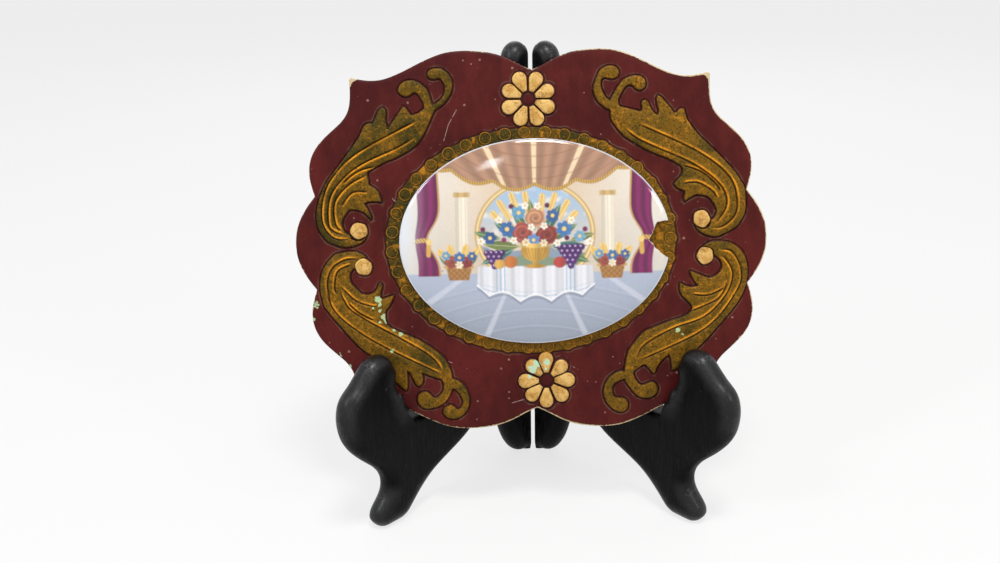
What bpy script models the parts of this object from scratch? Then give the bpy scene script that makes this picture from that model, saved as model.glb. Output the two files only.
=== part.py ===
"""Painted wall plaque with a glazed porcelain oval, standing on a folding easel.

Units are metres and +Z is up. The plaque faces -Y. The easel's two wings turn
on a vertical spine, and the origin is the middle of the footprint on the table.
"""

import math

import bmesh
import bpy
from mathutils import Matrix, Vector

MM = 0.001
GAP = 0.3 * MM
OVERCUT = 0.05 * MM
CUT_THROUGH = 8.0 * MM

# Board: sawn outline, one quarter drawn and mirrored
BOARD_HALF_LEFT = 90.2 * MM
BOARD_HALF_RIGHT = 87.7 * MM
BOARD_HALF_HEIGHT = 71.3 * MM
BOARD_THICKNESS = 6.0 * MM
BOARD_EDGE_ROUND = 0.8 * MM
BOARD_LEAN = math.radians(17.5)
BOARD_SIDE_SHIFT = 0.3 * MM

# Outline of one quarter as drawn, in millimetres from the board's middle. Each
# run is smooth, and the runs meet in a sharp point. It is stretched to the
# board's real half width and height.
BOARD_QUARTER = (
    ((0.0, 63.8), (4.0, 65.6), (9.0, 68.2), (14.5, 70.2), (20.5, 71.1), (26.5, 71.3),
     (32.0, 70.7), (37.0, 69.1), (42.0, 66.9), (47.0, 64.4), (51.5, 62.4), (55.5, 61.1),
     (59.5, 60.7), (63.5, 61.1), (67.9, 62.0)),
    ((67.9, 62.0), (67.7, 57.0), (68.0, 52.0), (69.2, 48.2), (71.8, 44.8), (75.8, 41.2),
     (79.6, 37.4), (82.2, 33.2), (83.4, 28.6), (83.2, 23.6), (81.6, 17.6)),
    ((81.6, 17.6), (84.4, 13.9), (87.0, 9.4), (88.6, 4.6), (89.0, 0.0)),
)

# Gilt oval ground, porcelain oval and the adhesive under it
GROUND_HALF_WIDTH = 55.2 * MM
GROUND_HALF_HEIGHT = 42.6 * MM
GROUND_THICKNESS = 0.8 * MM
CAMEO_HALF_WIDTH = 50.8 * MM
CAMEO_HALF_HEIGHT = 38.3 * MM
CAMEO_RIM = 1.6 * MM
CAMEO_RISE = 3.4 * MM
CAMEO_SHIFT_UP = -0.5 * MM
CHIP_DEPTH = 8.2 * MM
CHIP_HALF_HEIGHT = 7.4 * MM
ADHESIVE_MARGIN = 11.0 * MM
ADHESIVE_THICKNESS = 0.4 * MM
OVAL_STEPS = 72

# Gilt ornament
RELIEF = 0.8 * MM
RELIEF_ROUND = 0.3 * MM
FLOWER_RADIUS = 10.4 * MM
FLOWER_VALLEY = 4.2 * MM
FLOWER_CENTRE = 2.4 * MM
FLOWER_PETALS = 8
FLOWER_PLACES = (("upper_flower", -1.6, 53.4, 22.5), ("lower_flower", 3.1, -53.6, 0.0))
DOT_RADIUS = 3.2 * MM
DOT_CLEARANCE = 0.25 * MM
DOT_PLACES = (
    ("upper_left_pearl", -66.0, 4.6),
    ("lower_left_pearl", -64.8, -9.0),
    ("upper_right_pearl", 63.6, 6.4),
    ("lower_right_pearl", 64.4, -7.6),
)

# Acanthus scroll in the upper left quarter, in the drawn millimetres: the twin
# tendrils, the jagged outer side, the curl, the inner lobes and the inner side
SCROLL_RUNS = (
    ((35.5, 52.5), (33.5, 54.6), (32.7, 57.2), (33.3, 59.8), (35.0, 61.3), (37.0, 61.0),
     (38.8, 61.4), (39.3, 63.1), (38.2, 64.6), (36.0, 65.1), (33.2, 64.1), (31.2, 61.8),
     (30.3, 58.6), (30.9, 55.0), (33.0, 51.9), (36.4, 49.8)),
    ((36.4, 49.8), (38.1, 46.4), (39.7, 42.8), (41.8, 39.3), (44.5, 36.0), (47.6, 33.5),
     (51.6, 31.5), (55.7, 29.8), (59.6, 28.3), (62.0, 26.6)),
    ((62.0, 26.6), (62.2, 24.1), (61.6, 21.8), (59.6, 19.8), (58.4, 17.6), (58.1, 15.2)),
    ((58.1, 15.2), (61.0, 15.6), (63.9, 14.4)),
    ((63.9, 14.4), (62.6, 11.6), (61.6, 8.8)),
    ((61.6, 8.8), (64.2, 11.4), (67.0, 12.5), (69.6, 12.0), (71.6, 10.2), (72.4, 7.6),
     (71.6, 4.8), (69.9, 3.0)),
    ((69.9, 3.0), (68.6, 0.6), (67.2, -0.9)),
    ((67.2, -0.9), (70.2, -1.4), (74.0, -1.0), (77.6, 0.4), (80.3, 3.0), (81.6, 6.4),
     (82.0, 10.4), (81.4, 14.8), (79.9, 19.6), (76.9, 25.0), (73.2, 30.2), (70.2, 34.0),
     (67.2, 37.2), (65.2, 40.4), (63.9, 43.3), (62.4, 44.3)),
    ((62.4, 44.3), (60.2, 45.2), (58.6, 48.2), (56.6, 50.8)),
    ((56.6, 50.8), (55.3, 48.6), (55.2, 45.4), (54.4, 42.6)),
    ((54.4, 42.6), (52.2, 45.4), (50.4, 48.2), (48.7, 50.7)),
    ((48.7, 50.7), (46.7, 49.4), (45.8, 46.8)),
    ((45.8, 46.8), (43.2, 47.8), (40.9, 49.2)),
    ((40.9, 49.2), (41.2, 52.0), (42.8, 54.4), (45.2, 55.2), (47.4, 54.5), (49.6, 54.7),
     (50.7, 56.8), (50.0, 59.0), (47.8, 60.4), (44.6, 60.3), (41.6, 58.7), (39.4, 56.2),
     (37.8, 53.4), (35.5, 52.5)),
)

# The upper right scroll is carved more freely: the jagged outer side with its
# three tips and the curl, the inner lobes and inner side, then each tendril
FREE_SCROLL_RUNS = (
    ((33.5, 49.5), (37.3, 48.1), (40.9, 47.6)),
    ((40.9, 47.6), (42.1, 49.2), (42.6, 51.4)),
    ((42.6, 51.4), (44.2, 50.4), (45.5, 47.7), (48.0, 45.7)),
    ((48.0, 45.7), (48.3, 48.6), (48.0, 51.4), (48.7, 53.5)),
    ((48.7, 53.5), (51.2, 51.7), (53.2, 49.1), (54.7, 46.8)),
    ((54.7, 46.8), (56.0, 47.8), (57.8, 48.3)),
    ((57.8, 48.3), (58.8, 45.5), (60.7, 41.9), (64.2, 37.8), (68.8, 33.7), (72.8, 29.6),
     (76.3, 25.5), (78.8, 22.0), (80.3, 18.4), (81.0, 14.0), (80.6, 9.3), (78.0, 4.8),
     (74.4, 1.9), (70.2, 0.4), (66.7, 0.7)),
    ((66.7, 0.7), (67.5, 3.2), (68.9, 6.6), (70.3, 9.7), (69.9, 13.0), (67.5, 15.4),
     (64.4, 16.2), (61.3, 15.2), (58.2, 13.0)),
    ((58.2, 13.0), (58.1, 16.4), (56.5, 18.6), (53.9, 19.6)),
    ((53.9, 19.6), (56.1, 22.2), (56.8, 24.7), (56.1, 27.1)),
    ((56.1, 27.1), (52.0, 29.1), (47.2, 31.3), (42.2, 33.4), (38.1, 35.8), (34.6, 38.6),
     (31.8, 41.9), (30.2, 45.5), (29.4, 48.8), (25.6, 52.1), (23.9, 56.4), (24.5, 60.7),
     (26.8, 63.7), (29.9, 64.8), (32.5, 63.8), (33.2, 61.8), (32.0, 60.2), (29.8, 60.2),
     (27.8, 60.6), (26.5, 59.0), (26.5, 56.1), (27.7, 53.6), (29.7, 51.8)),
    ((29.7, 51.8), (31.4, 54.6), (33.0, 57.4), (35.4, 59.7), (38.6, 60.7), (41.6, 60.4),
     (43.1, 58.4), (42.3, 56.2), (40.0, 55.9), (37.8, 57.0), (35.6, 56.0), (34.2, 53.5),
     (33.5, 49.5)),
)
SCROLL_PLACES = (
    ("upper_left_scroll", SCROLL_RUNS, -1.0, 1.0),
    ("upper_right_scroll", FREE_SCROLL_RUNS, 1.0, 1.0),
    ("lower_left_scroll", SCROLL_RUNS, -1.0, -1.0),
    ("lower_right_scroll", SCROLL_RUNS, 1.0, -1.0),
)
LOWER_SCROLL_DROP = 3.2 * MM

# Easel: two sawn wings on a vertical spine
WING_OPEN_ANGLE = math.radians(41.6)
WING_THICKNESS = 9.65 * MM
WING_INNER_FACE = 0.35 * MM
WING_REAR_EDGE = 0.5 * MM
WING_ROUND = 3.2 * MM
SPINE_HEIGHT = 174.5 * MM
NOTCH_FLOOR = 40.2 * MM
NOTCH_MIDDLE = 65.6 * MM
TIP_CONTACT_HEIGHT = 162.0 * MM
TIP_CLEARANCE = 0.45 * MM
# The board's back lower edge stands this far behind the notch's middle, and
# this far over its floor, because the notch is round and the edge is not
BACK_EDGE_INSET = 1.6 * MM
SEAT_CLEARANCE = 0.6 * MM

# Upright's front from top to bottom: share of the way from the notch's floor to
# the contact height, and share of the hollow's depth behind the board there
HOLLOW_DEPTH = 16.9 * MM
UPRIGHT_HOLLOW = ((0.90, 0.107), (0.77, 0.408), (0.63, 0.692), (0.483, 0.905),
                  (0.343, 1.0), (0.22, 0.935), (0.135, 0.71), (0.08, 0.414))

# Rounded tip over the contact height, in shares of the tip's own height: the
# distance from the spine and the depth below the top
WING_TIP = ((0.208, 0.0), (0.432, 0.072), (0.608, 0.232))

# Rest of the wing's outline as drawn, in millimetres from the spine and the
# table. The cradle's lowest point is the middle of the notch's floor.
CRADLE = ((57.4, 44.6), (61.2, 41.2), (65.6, 40.2), (69.8, 40.9), (73.6, 43.1),
          (76.4, 46.4), (77.9, 50.8), (78.1, 55.2), (77.4, 59.8), (76.5, 64.2))
HOOK_AND_FOOT = ((77.4, 67.6), (80.2, 69.8), (84.0, 70.3), (88.0, 68.9), (91.6, 65.6),
                 (95.2, 62.2), (98.8, 59.4), (101.2, 56.0), (102.3, 51.2), (102.0, 46.0),
                 (100.4, 40.8), (97.0, 35.6), (92.4, 30.8), (87.4, 26.2), (84.0, 21.8),
                 (82.6, 17.8), (82.8, 14.4), (84.4, 11.6), (86.6, 9.2), (88.6, 6.4),
                 (89.0, 3.2), (87.6, 0.2), (85.0, -2.6), (80.4, -4.0), (76.4, -2.6))
ARCH_AND_REAR_LEG = ((73.4, 0.8), (70.6, 3.6), (67.2, 6.9), (63.2, 10.3), (58.4, 13.4),
                     (52.4, 16.0), (45.6, 18.6), (39.0, 21.6), (33.0, 25.6), (27.6, 29.0),
                     (22.6, 29.2), (18.8, 25.4), (16.4, 19.4), (14.6, 13.4), (12.6, 8.4),
                     (10.0, 4.2), (7.2, 0.8), (4.4, -2.6))

# Small brass butt hinges let into the rear edges
HINGE_HEIGHTS = (("upper", 138.0 * MM), ("lower", 58.0 * MM))
HINGE_LENGTH = 18.0 * MM
KNUCKLE_RADIUS = 1.9 * MM
PIN_RADIUS = 0.95 * MM
PIN_HEAD_RADIUS = 1.6 * MM
PIN_HEAD = 0.7 * MM
PIN_CLEARANCE = 0.3 * MM
LEAF_THICKNESS = 1.0 * MM
LEAF_FACE = 0.9 * MM
LEAF_WIDTH = 8.6 * MM
SCREW_HEAD_RADIUS = 1.5 * MM
SCREW_SHANK_RADIUS = 0.75 * MM
SCREW_LENGTH = 7.5 * MM
SCREW_SPACING = 10.0 * MM
SCREW_OFFSET = 5.6 * MM
SCREW_POINT = 1.2 * MM
PIN_END = 0.5 * MM
KNUCKLE_RELIEF = 0.25 * MM

# Strap hanger with its ring, on the board's back
HANGER_HEIGHT = 24.0 * MM
STRAP_WIDTH = 6.0 * MM
STRAP_LENGTH = 15.0 * MM
STRAP_THICKNESS = 0.8 * MM
LOOP_BORE = 0.95 * MM
RING_WIRE_RADIUS = 0.6 * MM
RING_HALF_WIDTH = 5.2 * MM
RING_DROP = 3.0 * MM
RING_CORNER = 1.1 * MM
BRAD_HEAD_RADIUS = 1.2 * MM
BRAD_SHANK_RADIUS = 0.5 * MM
BRAD_LENGTH = 4.2 * MM
BRAD_SPACING = 6.0 * MM
BRAD_SETBACK = 3.0 * MM
BRAD_HEAD = 0.7 * MM
BRAD_POINT = 0.8 * MM
PILOT_DEPTH = 4.0 * MM

ROUND_STEPS = 24
SCREW_STEPS = 14
BRAD_STEPS = 12


def clear_scene():
    """Remove every object of the open scene."""
    for obj in list(bpy.data.objects):
        bpy.data.objects.remove(obj, do_unlink=True)


def make_material(name, colour, roughness, metallic=0.0):
    """Return a plain Principled material."""
    material = bpy.data.materials.new(name)
    material.use_nodes = True
    shader = material.node_tree.nodes["Principled BSDF"]
    shader.inputs["Base Color"].default_value = (*colour, 1.0)
    shader.inputs["Roughness"].default_value = roughness
    shader.inputs["Metallic"].default_value = metallic
    return material


def make_empty(name, collection, parent=None, matrix=None):
    """Return an empty that carries other pieces."""
    empty = bpy.data.objects.new(name, None)
    collection.objects.link(empty)
    if parent is not None:
        empty.parent = parent
    if matrix is not None:
        empty.matrix_local = matrix
    return empty


def place(obj, parent, matrix=None, material=None):
    """Parent a piece, set its place under the parent and give it its material."""
    obj.parent = parent
    obj.matrix_local = matrix if matrix is not None else Matrix.Identity(4)
    if material is not None:
        obj.data.materials.clear()
        obj.data.materials.append(material)
    return obj


def curve_point(before, start, end, after, t):
    """Return a point at t on the smooth curve from start to end."""
    def blend(a, b, c, d):
        return 0.5 * (2 * b + (c - a) * t + (2 * a - 5 * b + 4 * c - d) * t * t
                      + (3 * b - a - 3 * c + d) * t ** 3)
    return (blend(before[0], start[0], end[0], after[0]),
            blend(before[1], start[1], end[1], after[1]))


def smooth_run(points, steps):
    """Return a smooth open line through points, without its last point."""
    line = []
    last = len(points) - 1
    for index in range(last):
        start, end = points[index], points[index + 1]
        before = points[index - 1] if index else start
        after = points[index + 2] if index + 2 <= last else end
        for step in range(steps):
            line.append(curve_point(before, start, end, after, step / steps))
    return line


def flat_slab(name, loops, thickness, collection):
    """Return a mesh object of a flat outline, its back at z = 0.

    The first loop is the outline and the others are holes. A filled 2D curve is
    extruded, turned into a mesh, and its faces are joined into single caps.
    """
    curve = bpy.data.curves.new(name, "CURVE")
    curve.dimensions = "2D"
    curve.fill_mode = "BOTH"
    curve.extrude = thickness / 2
    for loop in loops:
        spline = curve.splines.new("POLY")
        spline.points.add(len(loop) - 1)
        for point, (x, y) in zip(spline.points, loop):
            point.co = (x, y, 0.0, 1.0)
        spline.use_cyclic_u = True
    source = bpy.data.objects.new(name + "_outline", curve)
    collection.objects.link(source)
    graph = bpy.context.evaluated_depsgraph_get()
    mesh = bpy.data.meshes.new_from_object(source.evaluated_get(graph))
    bpy.data.objects.remove(source, do_unlink=True)
    bpy.data.curves.remove(curve)
    return object_from(name, weld(mesh, Vector((0, 0, thickness / 2))), collection)


def weld(mesh, shift):
    """Merge doubles, join flat faces, turn faces outwards and shift a mesh."""
    work = bmesh.new()
    work.from_mesh(mesh)
    bmesh.ops.remove_doubles(work, verts=work.verts, dist=0.00001)
    bmesh.ops.dissolve_limit(work, angle_limit=math.radians(0.5), verts=work.verts,
                             edges=work.edges, delimit={"NORMAL"})
    bmesh.ops.recalc_face_normals(work, faces=work.faces)
    bmesh.ops.translate(work, verts=work.verts, vec=shift)
    work.to_mesh(mesh)
    work.free()
    return mesh


def object_from(name, mesh, collection):
    """Return a linked object around a mesh."""
    mesh.name = name
    obj = bpy.data.objects.new(name, mesh)
    collection.objects.link(obj)
    return obj


def move_mesh(obj, matrix):
    """Apply a matrix to an object's mesh."""
    obj.data.transform(matrix)
    obj.data.update()
    return obj


def shade_round(obj, angle=35.0):
    """Shade a piece smooth, but not across its sharp edges."""
    obj.data.shade_smooth()
    obj.data.set_sharp_from_angle(angle=math.radians(angle))
    return obj


def turned(name, profile, collection, steps=ROUND_STEPS):
    """Return a solid turned about Z from a profile given top to bottom at +X."""
    mesh = bpy.data.meshes.new(name)
    points = [(radius, 0.0, height) for radius, height in profile]
    mesh.from_pydata(points, [(i, i + 1) for i in range(len(points) - 1)], [])
    obj = object_from(name, mesh, collection)
    screw = obj.modifiers.new("turn", "SCREW")
    screw.axis = "Z"
    screw.steps = steps
    screw.render_steps = steps
    screw.use_merge_vertices = True
    screw.merge_threshold = 0.00001
    return obj


def applied(obj, collection):
    """Return a mesh object of the evaluated piece, in the old one's place."""
    graph = bpy.context.evaluated_depsgraph_get()
    name = obj.name
    mesh = bpy.data.meshes.new_from_object(obj.evaluated_get(graph))
    bpy.data.objects.remove(obj, do_unlink=True)
    return object_from(name, mesh, collection)


def box(name, low, high, collection):
    """Return a box between two corners."""
    low, high = Vector(low), Vector(high)
    mesh = bpy.data.meshes.new(name)
    work = bmesh.new()
    bmesh.ops.create_cube(work, size=1.0)
    bmesh.ops.scale(work, verts=work.verts, vec=high - low)
    bmesh.ops.translate(work, verts=work.verts, vec=(high + low) / 2)
    work.to_mesh(mesh)
    work.free()
    return object_from(name, mesh, collection)


def cylinder(name, radius, length, collection, steps=ROUND_STEPS, tip=None):
    """Return a cylinder or cone along Z from z = 0 to its length."""
    mesh = bpy.data.meshes.new(name)
    work = bmesh.new()
    bmesh.ops.create_cone(work, cap_ends=True, segments=steps, radius1=radius,
                          radius2=radius if tip is None else tip, depth=length)
    bmesh.ops.translate(work, verts=work.verts, vec=(0, 0, length / 2))
    work.to_mesh(mesh)
    work.free()
    return object_from(name, mesh, collection)


def boolean(target, tool, operation="DIFFERENCE"):
    """Add a Boolean modifier that cuts with, or joins, another object."""
    cut = target.modifiers.new(tool.name, "BOOLEAN")
    cut.operation = operation
    cut.solver = "EXACT"
    cut.object = tool
    tool.hide_render = True
    tool.display_type = "WIRE"


def bevelled(obj, width, segments, angle=60.0):
    """Round the sharp edges of a piece."""
    bevel = obj.modifiers.new("round", "BEVEL")
    bevel.width = width
    bevel.segments = segments
    bevel.limit_method = "ANGLE"
    bevel.angle_limit = math.radians(angle)
    return obj


def on_board(x, y):
    """Map a drawn point, in millimetres, to the board's real size."""
    drawn = [point for run in BOARD_QUARTER for point in run]
    half = BOARD_HALF_LEFT if x < 0 else BOARD_HALF_RIGHT
    return (x * half / max(point[0] for point in drawn),
            y * BOARD_HALF_HEIGHT / max(point[1] for point in drawn))


def board_outline():
    """Return the whole outline, made from the drawn quarter."""
    quarter = []
    for run in BOARD_QUARTER:
        quarter += smooth_run(run, 2)
    side_point = BOARD_QUARTER[-1][-1]
    right = quarter + [side_point] + [(x, -y) for x, y in reversed(quarter)]
    left = [(-x, y) for x, y in reversed(right[1:-1])]
    return [on_board(x, y) for x, y in right + left]


def ellipse(half_width, half_height, steps=OVAL_STEPS):
    """Return the points of an oval."""
    return [(half_width * math.cos(math.tau * i / steps),
             half_height * math.sin(math.tau * i / steps)) for i in range(steps)]


def below_the_board(points):
    """Stretch drawn wing points to the notch's real distance and height."""
    drawn_u, drawn_z = min(CRADLE, key=lambda point: point[1])
    return [(u * NOTCH_MIDDLE / drawn_u, z * NOTCH_FLOOR / drawn_z) for u, z in points]


def wing_outline():
    """Return one wing's outline as (distance from the spine, height).

    The upright touches nothing but the board's back at the contact height, and
    is hollowed behind the board below it. The feet run below the table's level,
    where they are sawn off flat.
    """
    tip = SPINE_HEIGHT - TIP_CONTACT_HEIGHT
    contact = upright_reach(TIP_CONTACT_HEIGHT)
    line = [(WING_REAR_EDGE, SPINE_HEIGHT - 0.05 * tip)]
    line += [(u * tip, SPINE_HEIGHT - drop * tip) for u, drop in WING_TIP]
    line += [(contact - 0.16 * tip, SPINE_HEIGHT - 0.48 * tip),
             (contact - 0.145 * tip, TIP_CONTACT_HEIGHT + 0.256 * tip),
             (contact, TIP_CONTACT_HEIGHT)]
    for share, hollow in UPRIGHT_HOLLOW:
        height = NOTCH_FLOOR + share * (TIP_CONTACT_HEIGHT - NOTCH_FLOOR)
        line.append((upright_reach(height) - hollow * HOLLOW_DEPTH, height))
    line += below_the_board(CRADLE + HOOK_AND_FOOT + ARCH_AND_REAR_LEG)
    end_u, end_z = line[-1]
    return smooth_run(line, 2) + [(end_u, end_z), (WING_REAR_EDGE, 1.5 * end_z)]


def board_back(height):
    """Return how far in front of the spine the board's back lies at a height."""
    nose = WING_INNER_FACE + WING_ROUND
    rest_u = NOTCH_MIDDLE - BACK_EDGE_INSET
    forward = rest_u * math.cos(WING_OPEN_ANGLE) - nose * math.sin(WING_OPEN_ANGLE)
    return forward - (height - NOTCH_FLOOR) * math.tan(BOARD_LEAN)


def upright_reach(height):
    """Return the upright's reach at which its rounded front meets the board."""
    nose = WING_INNER_FACE + WING_ROUND
    forward = board_back(height) - TIP_CLEARANCE / math.cos(BOARD_LEAN)
    inner = forward + nose * math.sin(WING_OPEN_ANGLE) - WING_ROUND
    return inner / math.cos(WING_OPEN_ANGLE) + WING_ROUND


def wing_matrix(side):
    """Return the frame of a wing: X along it, Z up, for side +1 or -1."""
    return Matrix.Rotation(side * WING_OPEN_ANGLE - math.pi / 2, 4, "Z")


def upright_slab(obj, side):
    """Stand a flat slab up in its wing's frame, inner face by the spine."""
    stand = Matrix.Rotation(math.pi / 2, 4, "X")
    middle = WING_INNER_FACE + WING_THICKNESS / 2
    to_middle = Matrix.Translation((0, side * middle + WING_THICKNESS / 2, 0))
    return move_mesh(obj, to_middle @ stand)


def screw_heights(centre):
    """Return the heights of a leaf's two screws."""
    return (centre - SCREW_SPACING / 2, centre + SCREW_SPACING / 2)


def rear_hole(name, radius, depth, side, height, collection, tip=None):
    """Return a round cutter that runs into a wing from its rear edge."""
    tool = cylinder(name, radius, depth, collection, steps=SCREW_STEPS, tip=tip)
    inward = Matrix.Rotation(math.pi / 2, 4, "Y")
    start = Matrix.Translation((LEAF_FACE, side * SCREW_OFFSET, height))
    return move_mesh(tool, start @ inward)


def make_wing(name, side, parts, tools):
    """Build one wing with its soles, hinge seats and screw holes."""
    wing = flat_slab(name, [wing_outline()], WING_THICKNESS, parts)
    upright_slab(wing, side)
    weights = wing.data.attributes.new("bevel_weight_edge", "FLOAT", "EDGE")
    for edge in wing.data.edges:
        ends = [wing.data.vertices[i].co for i in edge.vertices]
        rear = max(end.x for end in ends) < WING_REAR_EDGE + OVERCUT
        across = abs(ends[0].y - ends[1].y) > WING_THICKNESS / 2
        weights.data[edge.index].value = 0.0 if rear or across else 1.0
    round_over = wing.modifiers.new("round_over", "BEVEL")
    round_over.width = WING_ROUND
    round_over.segments = 2
    round_over.limit_method = "WEIGHT"
    round_over.use_clamp_overlap = False
    span = 2 * NOTCH_MIDDLE
    below = box(name + "_saw", (-span, -span, -span), (span, span, 0), tools)
    boolean(wing, below)
    for label, height in HINGE_HEIGHTS:
        reach = HINGE_LENGTH / 2 + PIN_HEAD + 2 * GAP
        seat = box(f"{name}_{label}_seat", (-CUT_THROUGH, -2 * WING_THICKNESS, height - reach),
                   (LEAF_FACE + LEAF_THICKNESS + GAP, 2 * WING_THICKNESS, height + reach), tools)
        boolean(wing, seat)
        for number, z in enumerate(screw_heights(height), 1):
            hole = rear_hole(f"{name}_{label}_pilot_{number}", SCREW_SHANK_RADIUS + GAP,
                             SCREW_LENGTH + SCREW_POINT, side, z, tools)
            boolean(wing, hole)
    return wing


def make_leaf(name, side, height, parts, tools):
    """Build one hinge leaf: its plate, its knuckles, bore and screw holes.

    The left leaf (side -1) has the two outer knuckles and the right leaf the
    middle one.
    """
    half = HINGE_LENGTH / 2
    inner = KNUCKLE_RADIUS + KNUCKLE_RELIEF
    third = HINGE_LENGTH / 3
    low_y, high_y = sorted((side * inner, side * LEAF_WIDTH))
    leaf = box(name, (LEAF_FACE, low_y, height - half),
               (LEAF_FACE + LEAF_THICKNESS, high_y, height + half), parts)
    spans = ((-half, -third / 2 - GAP / 2), (third / 2 + GAP / 2, half))
    if side > 0:
        spans = ((-third / 2 + GAP / 2, third / 2 - GAP / 2),)
    for number, (start, end) in enumerate(spans, 1):
        knuckle = cylinder(f"{name}_knuckle_{number}", KNUCKLE_RADIUS, end - start, tools)
        move_mesh(knuckle, Matrix.Translation((0, 0, height + start)))
        near, far = sorted((0.0, side * (inner + GAP)))
        web = box(f"{name}_web_{number}", (LEAF_FACE, near, height + start),
                  (LEAF_FACE + LEAF_THICKNESS, far, height + end), tools)
        boolean(leaf, web, "UNION")
        boolean(leaf, knuckle, "UNION")
    bore = cylinder(name + "_bore", PIN_RADIUS + PIN_CLEARANCE, HINGE_LENGTH * 1.5, tools)
    move_mesh(bore, Matrix.Translation((0, 0, height - HINGE_LENGTH * 0.75)))
    boolean(leaf, bore)
    for number, z in enumerate(screw_heights(height), 1):
        sink = rear_hole(f"{name}_sink_{number}", SCREW_HEAD_RADIUS + GAP,
                         LEAF_THICKNESS + 2 * OVERCUT, side, z, tools,
                         tip=SCREW_SHANK_RADIUS + GAP)
        move_mesh(sink, Matrix.Translation((-OVERCUT, 0, 0)))
        boolean(leaf, sink)
    return leaf


def make_pin(name, height, parts):
    """Build a hinge pin with a small head above the knuckles."""
    half = HINGE_LENGTH / 2
    top = half + GAP + PIN_HEAD
    return turned(name, (
        (0.0, height + top),
        (PIN_HEAD_RADIUS * 0.7, height + top),
        (PIN_HEAD_RADIUS, height + top - PIN_HEAD * 0.5),
        (PIN_HEAD_RADIUS, height + half + GAP),
        (PIN_RADIUS, height + half + GAP),
        (PIN_RADIUS, height - half),
        (PIN_RADIUS * 0.6, height - half - PIN_END),
        (0.0, height - half - PIN_END),
    ), parts)


def make_screw(name, side, height, parts):
    """Build a countersunk wood screw, its head flush with the leaf."""
    screw = turned(name, (
        (0.0, 0.0),
        (SCREW_HEAD_RADIUS, 0.0),
        (SCREW_SHANK_RADIUS, -LEAF_THICKNESS),
        (SCREW_SHANK_RADIUS, -SCREW_LENGTH + SCREW_POINT),
        (0.0, -SCREW_LENGTH),
    ), parts, steps=SCREW_STEPS)
    face_back = Matrix.Rotation(-math.pi / 2, 4, "Y")
    seat = Matrix.Translation((LEAF_FACE + OVERCUT / 2, side * SCREW_OFFSET, height))
    return screw, seat @ face_back


def build_easel(assembly, parts, tools, finishes):
    """Build the wings with their leaves and screws, and the pins between them."""
    spine = make_empty("spine_axis", parts, assembly)
    for label, height in HINGE_HEIGHTS:
        pin = make_pin(f"{label}_hinge_pin", height, parts)
        place(pin, spine, material=finishes["steel"])
        shade_round(pin)
    for side, hand in ((-1, "left"), (1, "right")):
        axis = make_empty(f"{hand}_wing_axis", parts, spine, wing_matrix(side))
        wing = make_wing(f"{hand}_wing", side, parts, tools)
        place(wing, axis, material=finishes["black_wood"])
        for cut in wing.modifiers:
            if cut.type == "BOOLEAN":
                cut.object.parent = axis
        for label, height in HINGE_HEIGHTS:
            leaf = make_leaf(f"{label}_hinge_{hand}_leaf", side, height, parts, tools)
            place(leaf, axis, material=finishes["brass"])
            for cut in leaf.modifiers:
                cut.object.parent = axis
            for number, z in enumerate(screw_heights(height), 1):
                name = f"{label}_hinge_{hand}_screw_{number}"
                screw, seat = make_screw(name, side, z, parts)
                place(screw, axis, seat, finishes["steel"])
                shade_round(screw)


def make_board(parts):
    """Build the sawn board, its back at z = 0."""
    board = flat_slab("plaque_board", [board_outline()], BOARD_THICKNESS, parts)
    return bevelled(board, BOARD_EDGE_ROUND, 1)


def make_scroll(name, runs, x_side, y_side, parts):
    """Build one gilt acanthus scroll from its drawn outline."""
    loop = []
    for run in runs:
        loop += smooth_run(run, 1)
    drop = LOWER_SCROLL_DROP if y_side < 0 else 0.0
    loop = [on_board(x_side * x, y_side * y) for x, y in loop]
    loop = [(x, y - drop) for x, y in loop]
    return bevelled(flat_slab(name, [loop], RELIEF, parts), RELIEF_ROUND, 1)


def make_flower(name, x, y, turn, parts):
    """Build one gilt flower: a ring of petals round an open middle."""
    steps = FLOWER_PETALS * 8
    outer = []
    for i in range(steps):
        angle = math.tau * i / steps
        swell = abs(math.cos(FLOWER_PETALS / 2 * angle)) ** 0.6
        radius = FLOWER_VALLEY + (FLOWER_RADIUS - FLOWER_VALLEY) * swell
        outer.append((radius * math.cos(angle), radius * math.sin(angle)))
    inner = ellipse(FLOWER_CENTRE, FLOWER_CENTRE, 16)
    flower = flat_slab(name, [outer, inner], RELIEF, parts)
    centre = on_board(x, y)
    spin = Matrix.Rotation(math.radians(turn), 4, "Z")
    return move_mesh(flower, Matrix.Translation((*centre, 0)) @ spin)


def dot_place(x, y):
    """Return a dot's place, which is never nearer than its clearance to the oval ground."""
    real_x, real_y = on_board(x, y)
    edge = GROUND_HALF_WIDTH * math.sqrt(1 - (real_y / GROUND_HALF_HEIGHT) ** 2)
    nearest = edge + DOT_RADIUS + DOT_CLEARANCE
    return (math.copysign(max(abs(real_x), nearest), x), real_y)


def make_pearl(name, x, y, parts):
    """Build one pale gilt dot at a scroll's end."""
    dot = turned(name, (
        (0.0, RELIEF * 1.3),
        (DOT_RADIUS * 0.6, RELIEF * 1.15),
        (DOT_RADIUS, RELIEF * 0.6),
        (DOT_RADIUS, 0.0),
        (0.0, 0.0),
    ), parts, steps=20)
    return dot, Matrix.Translation((*dot_place(x, y), 0))


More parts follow.
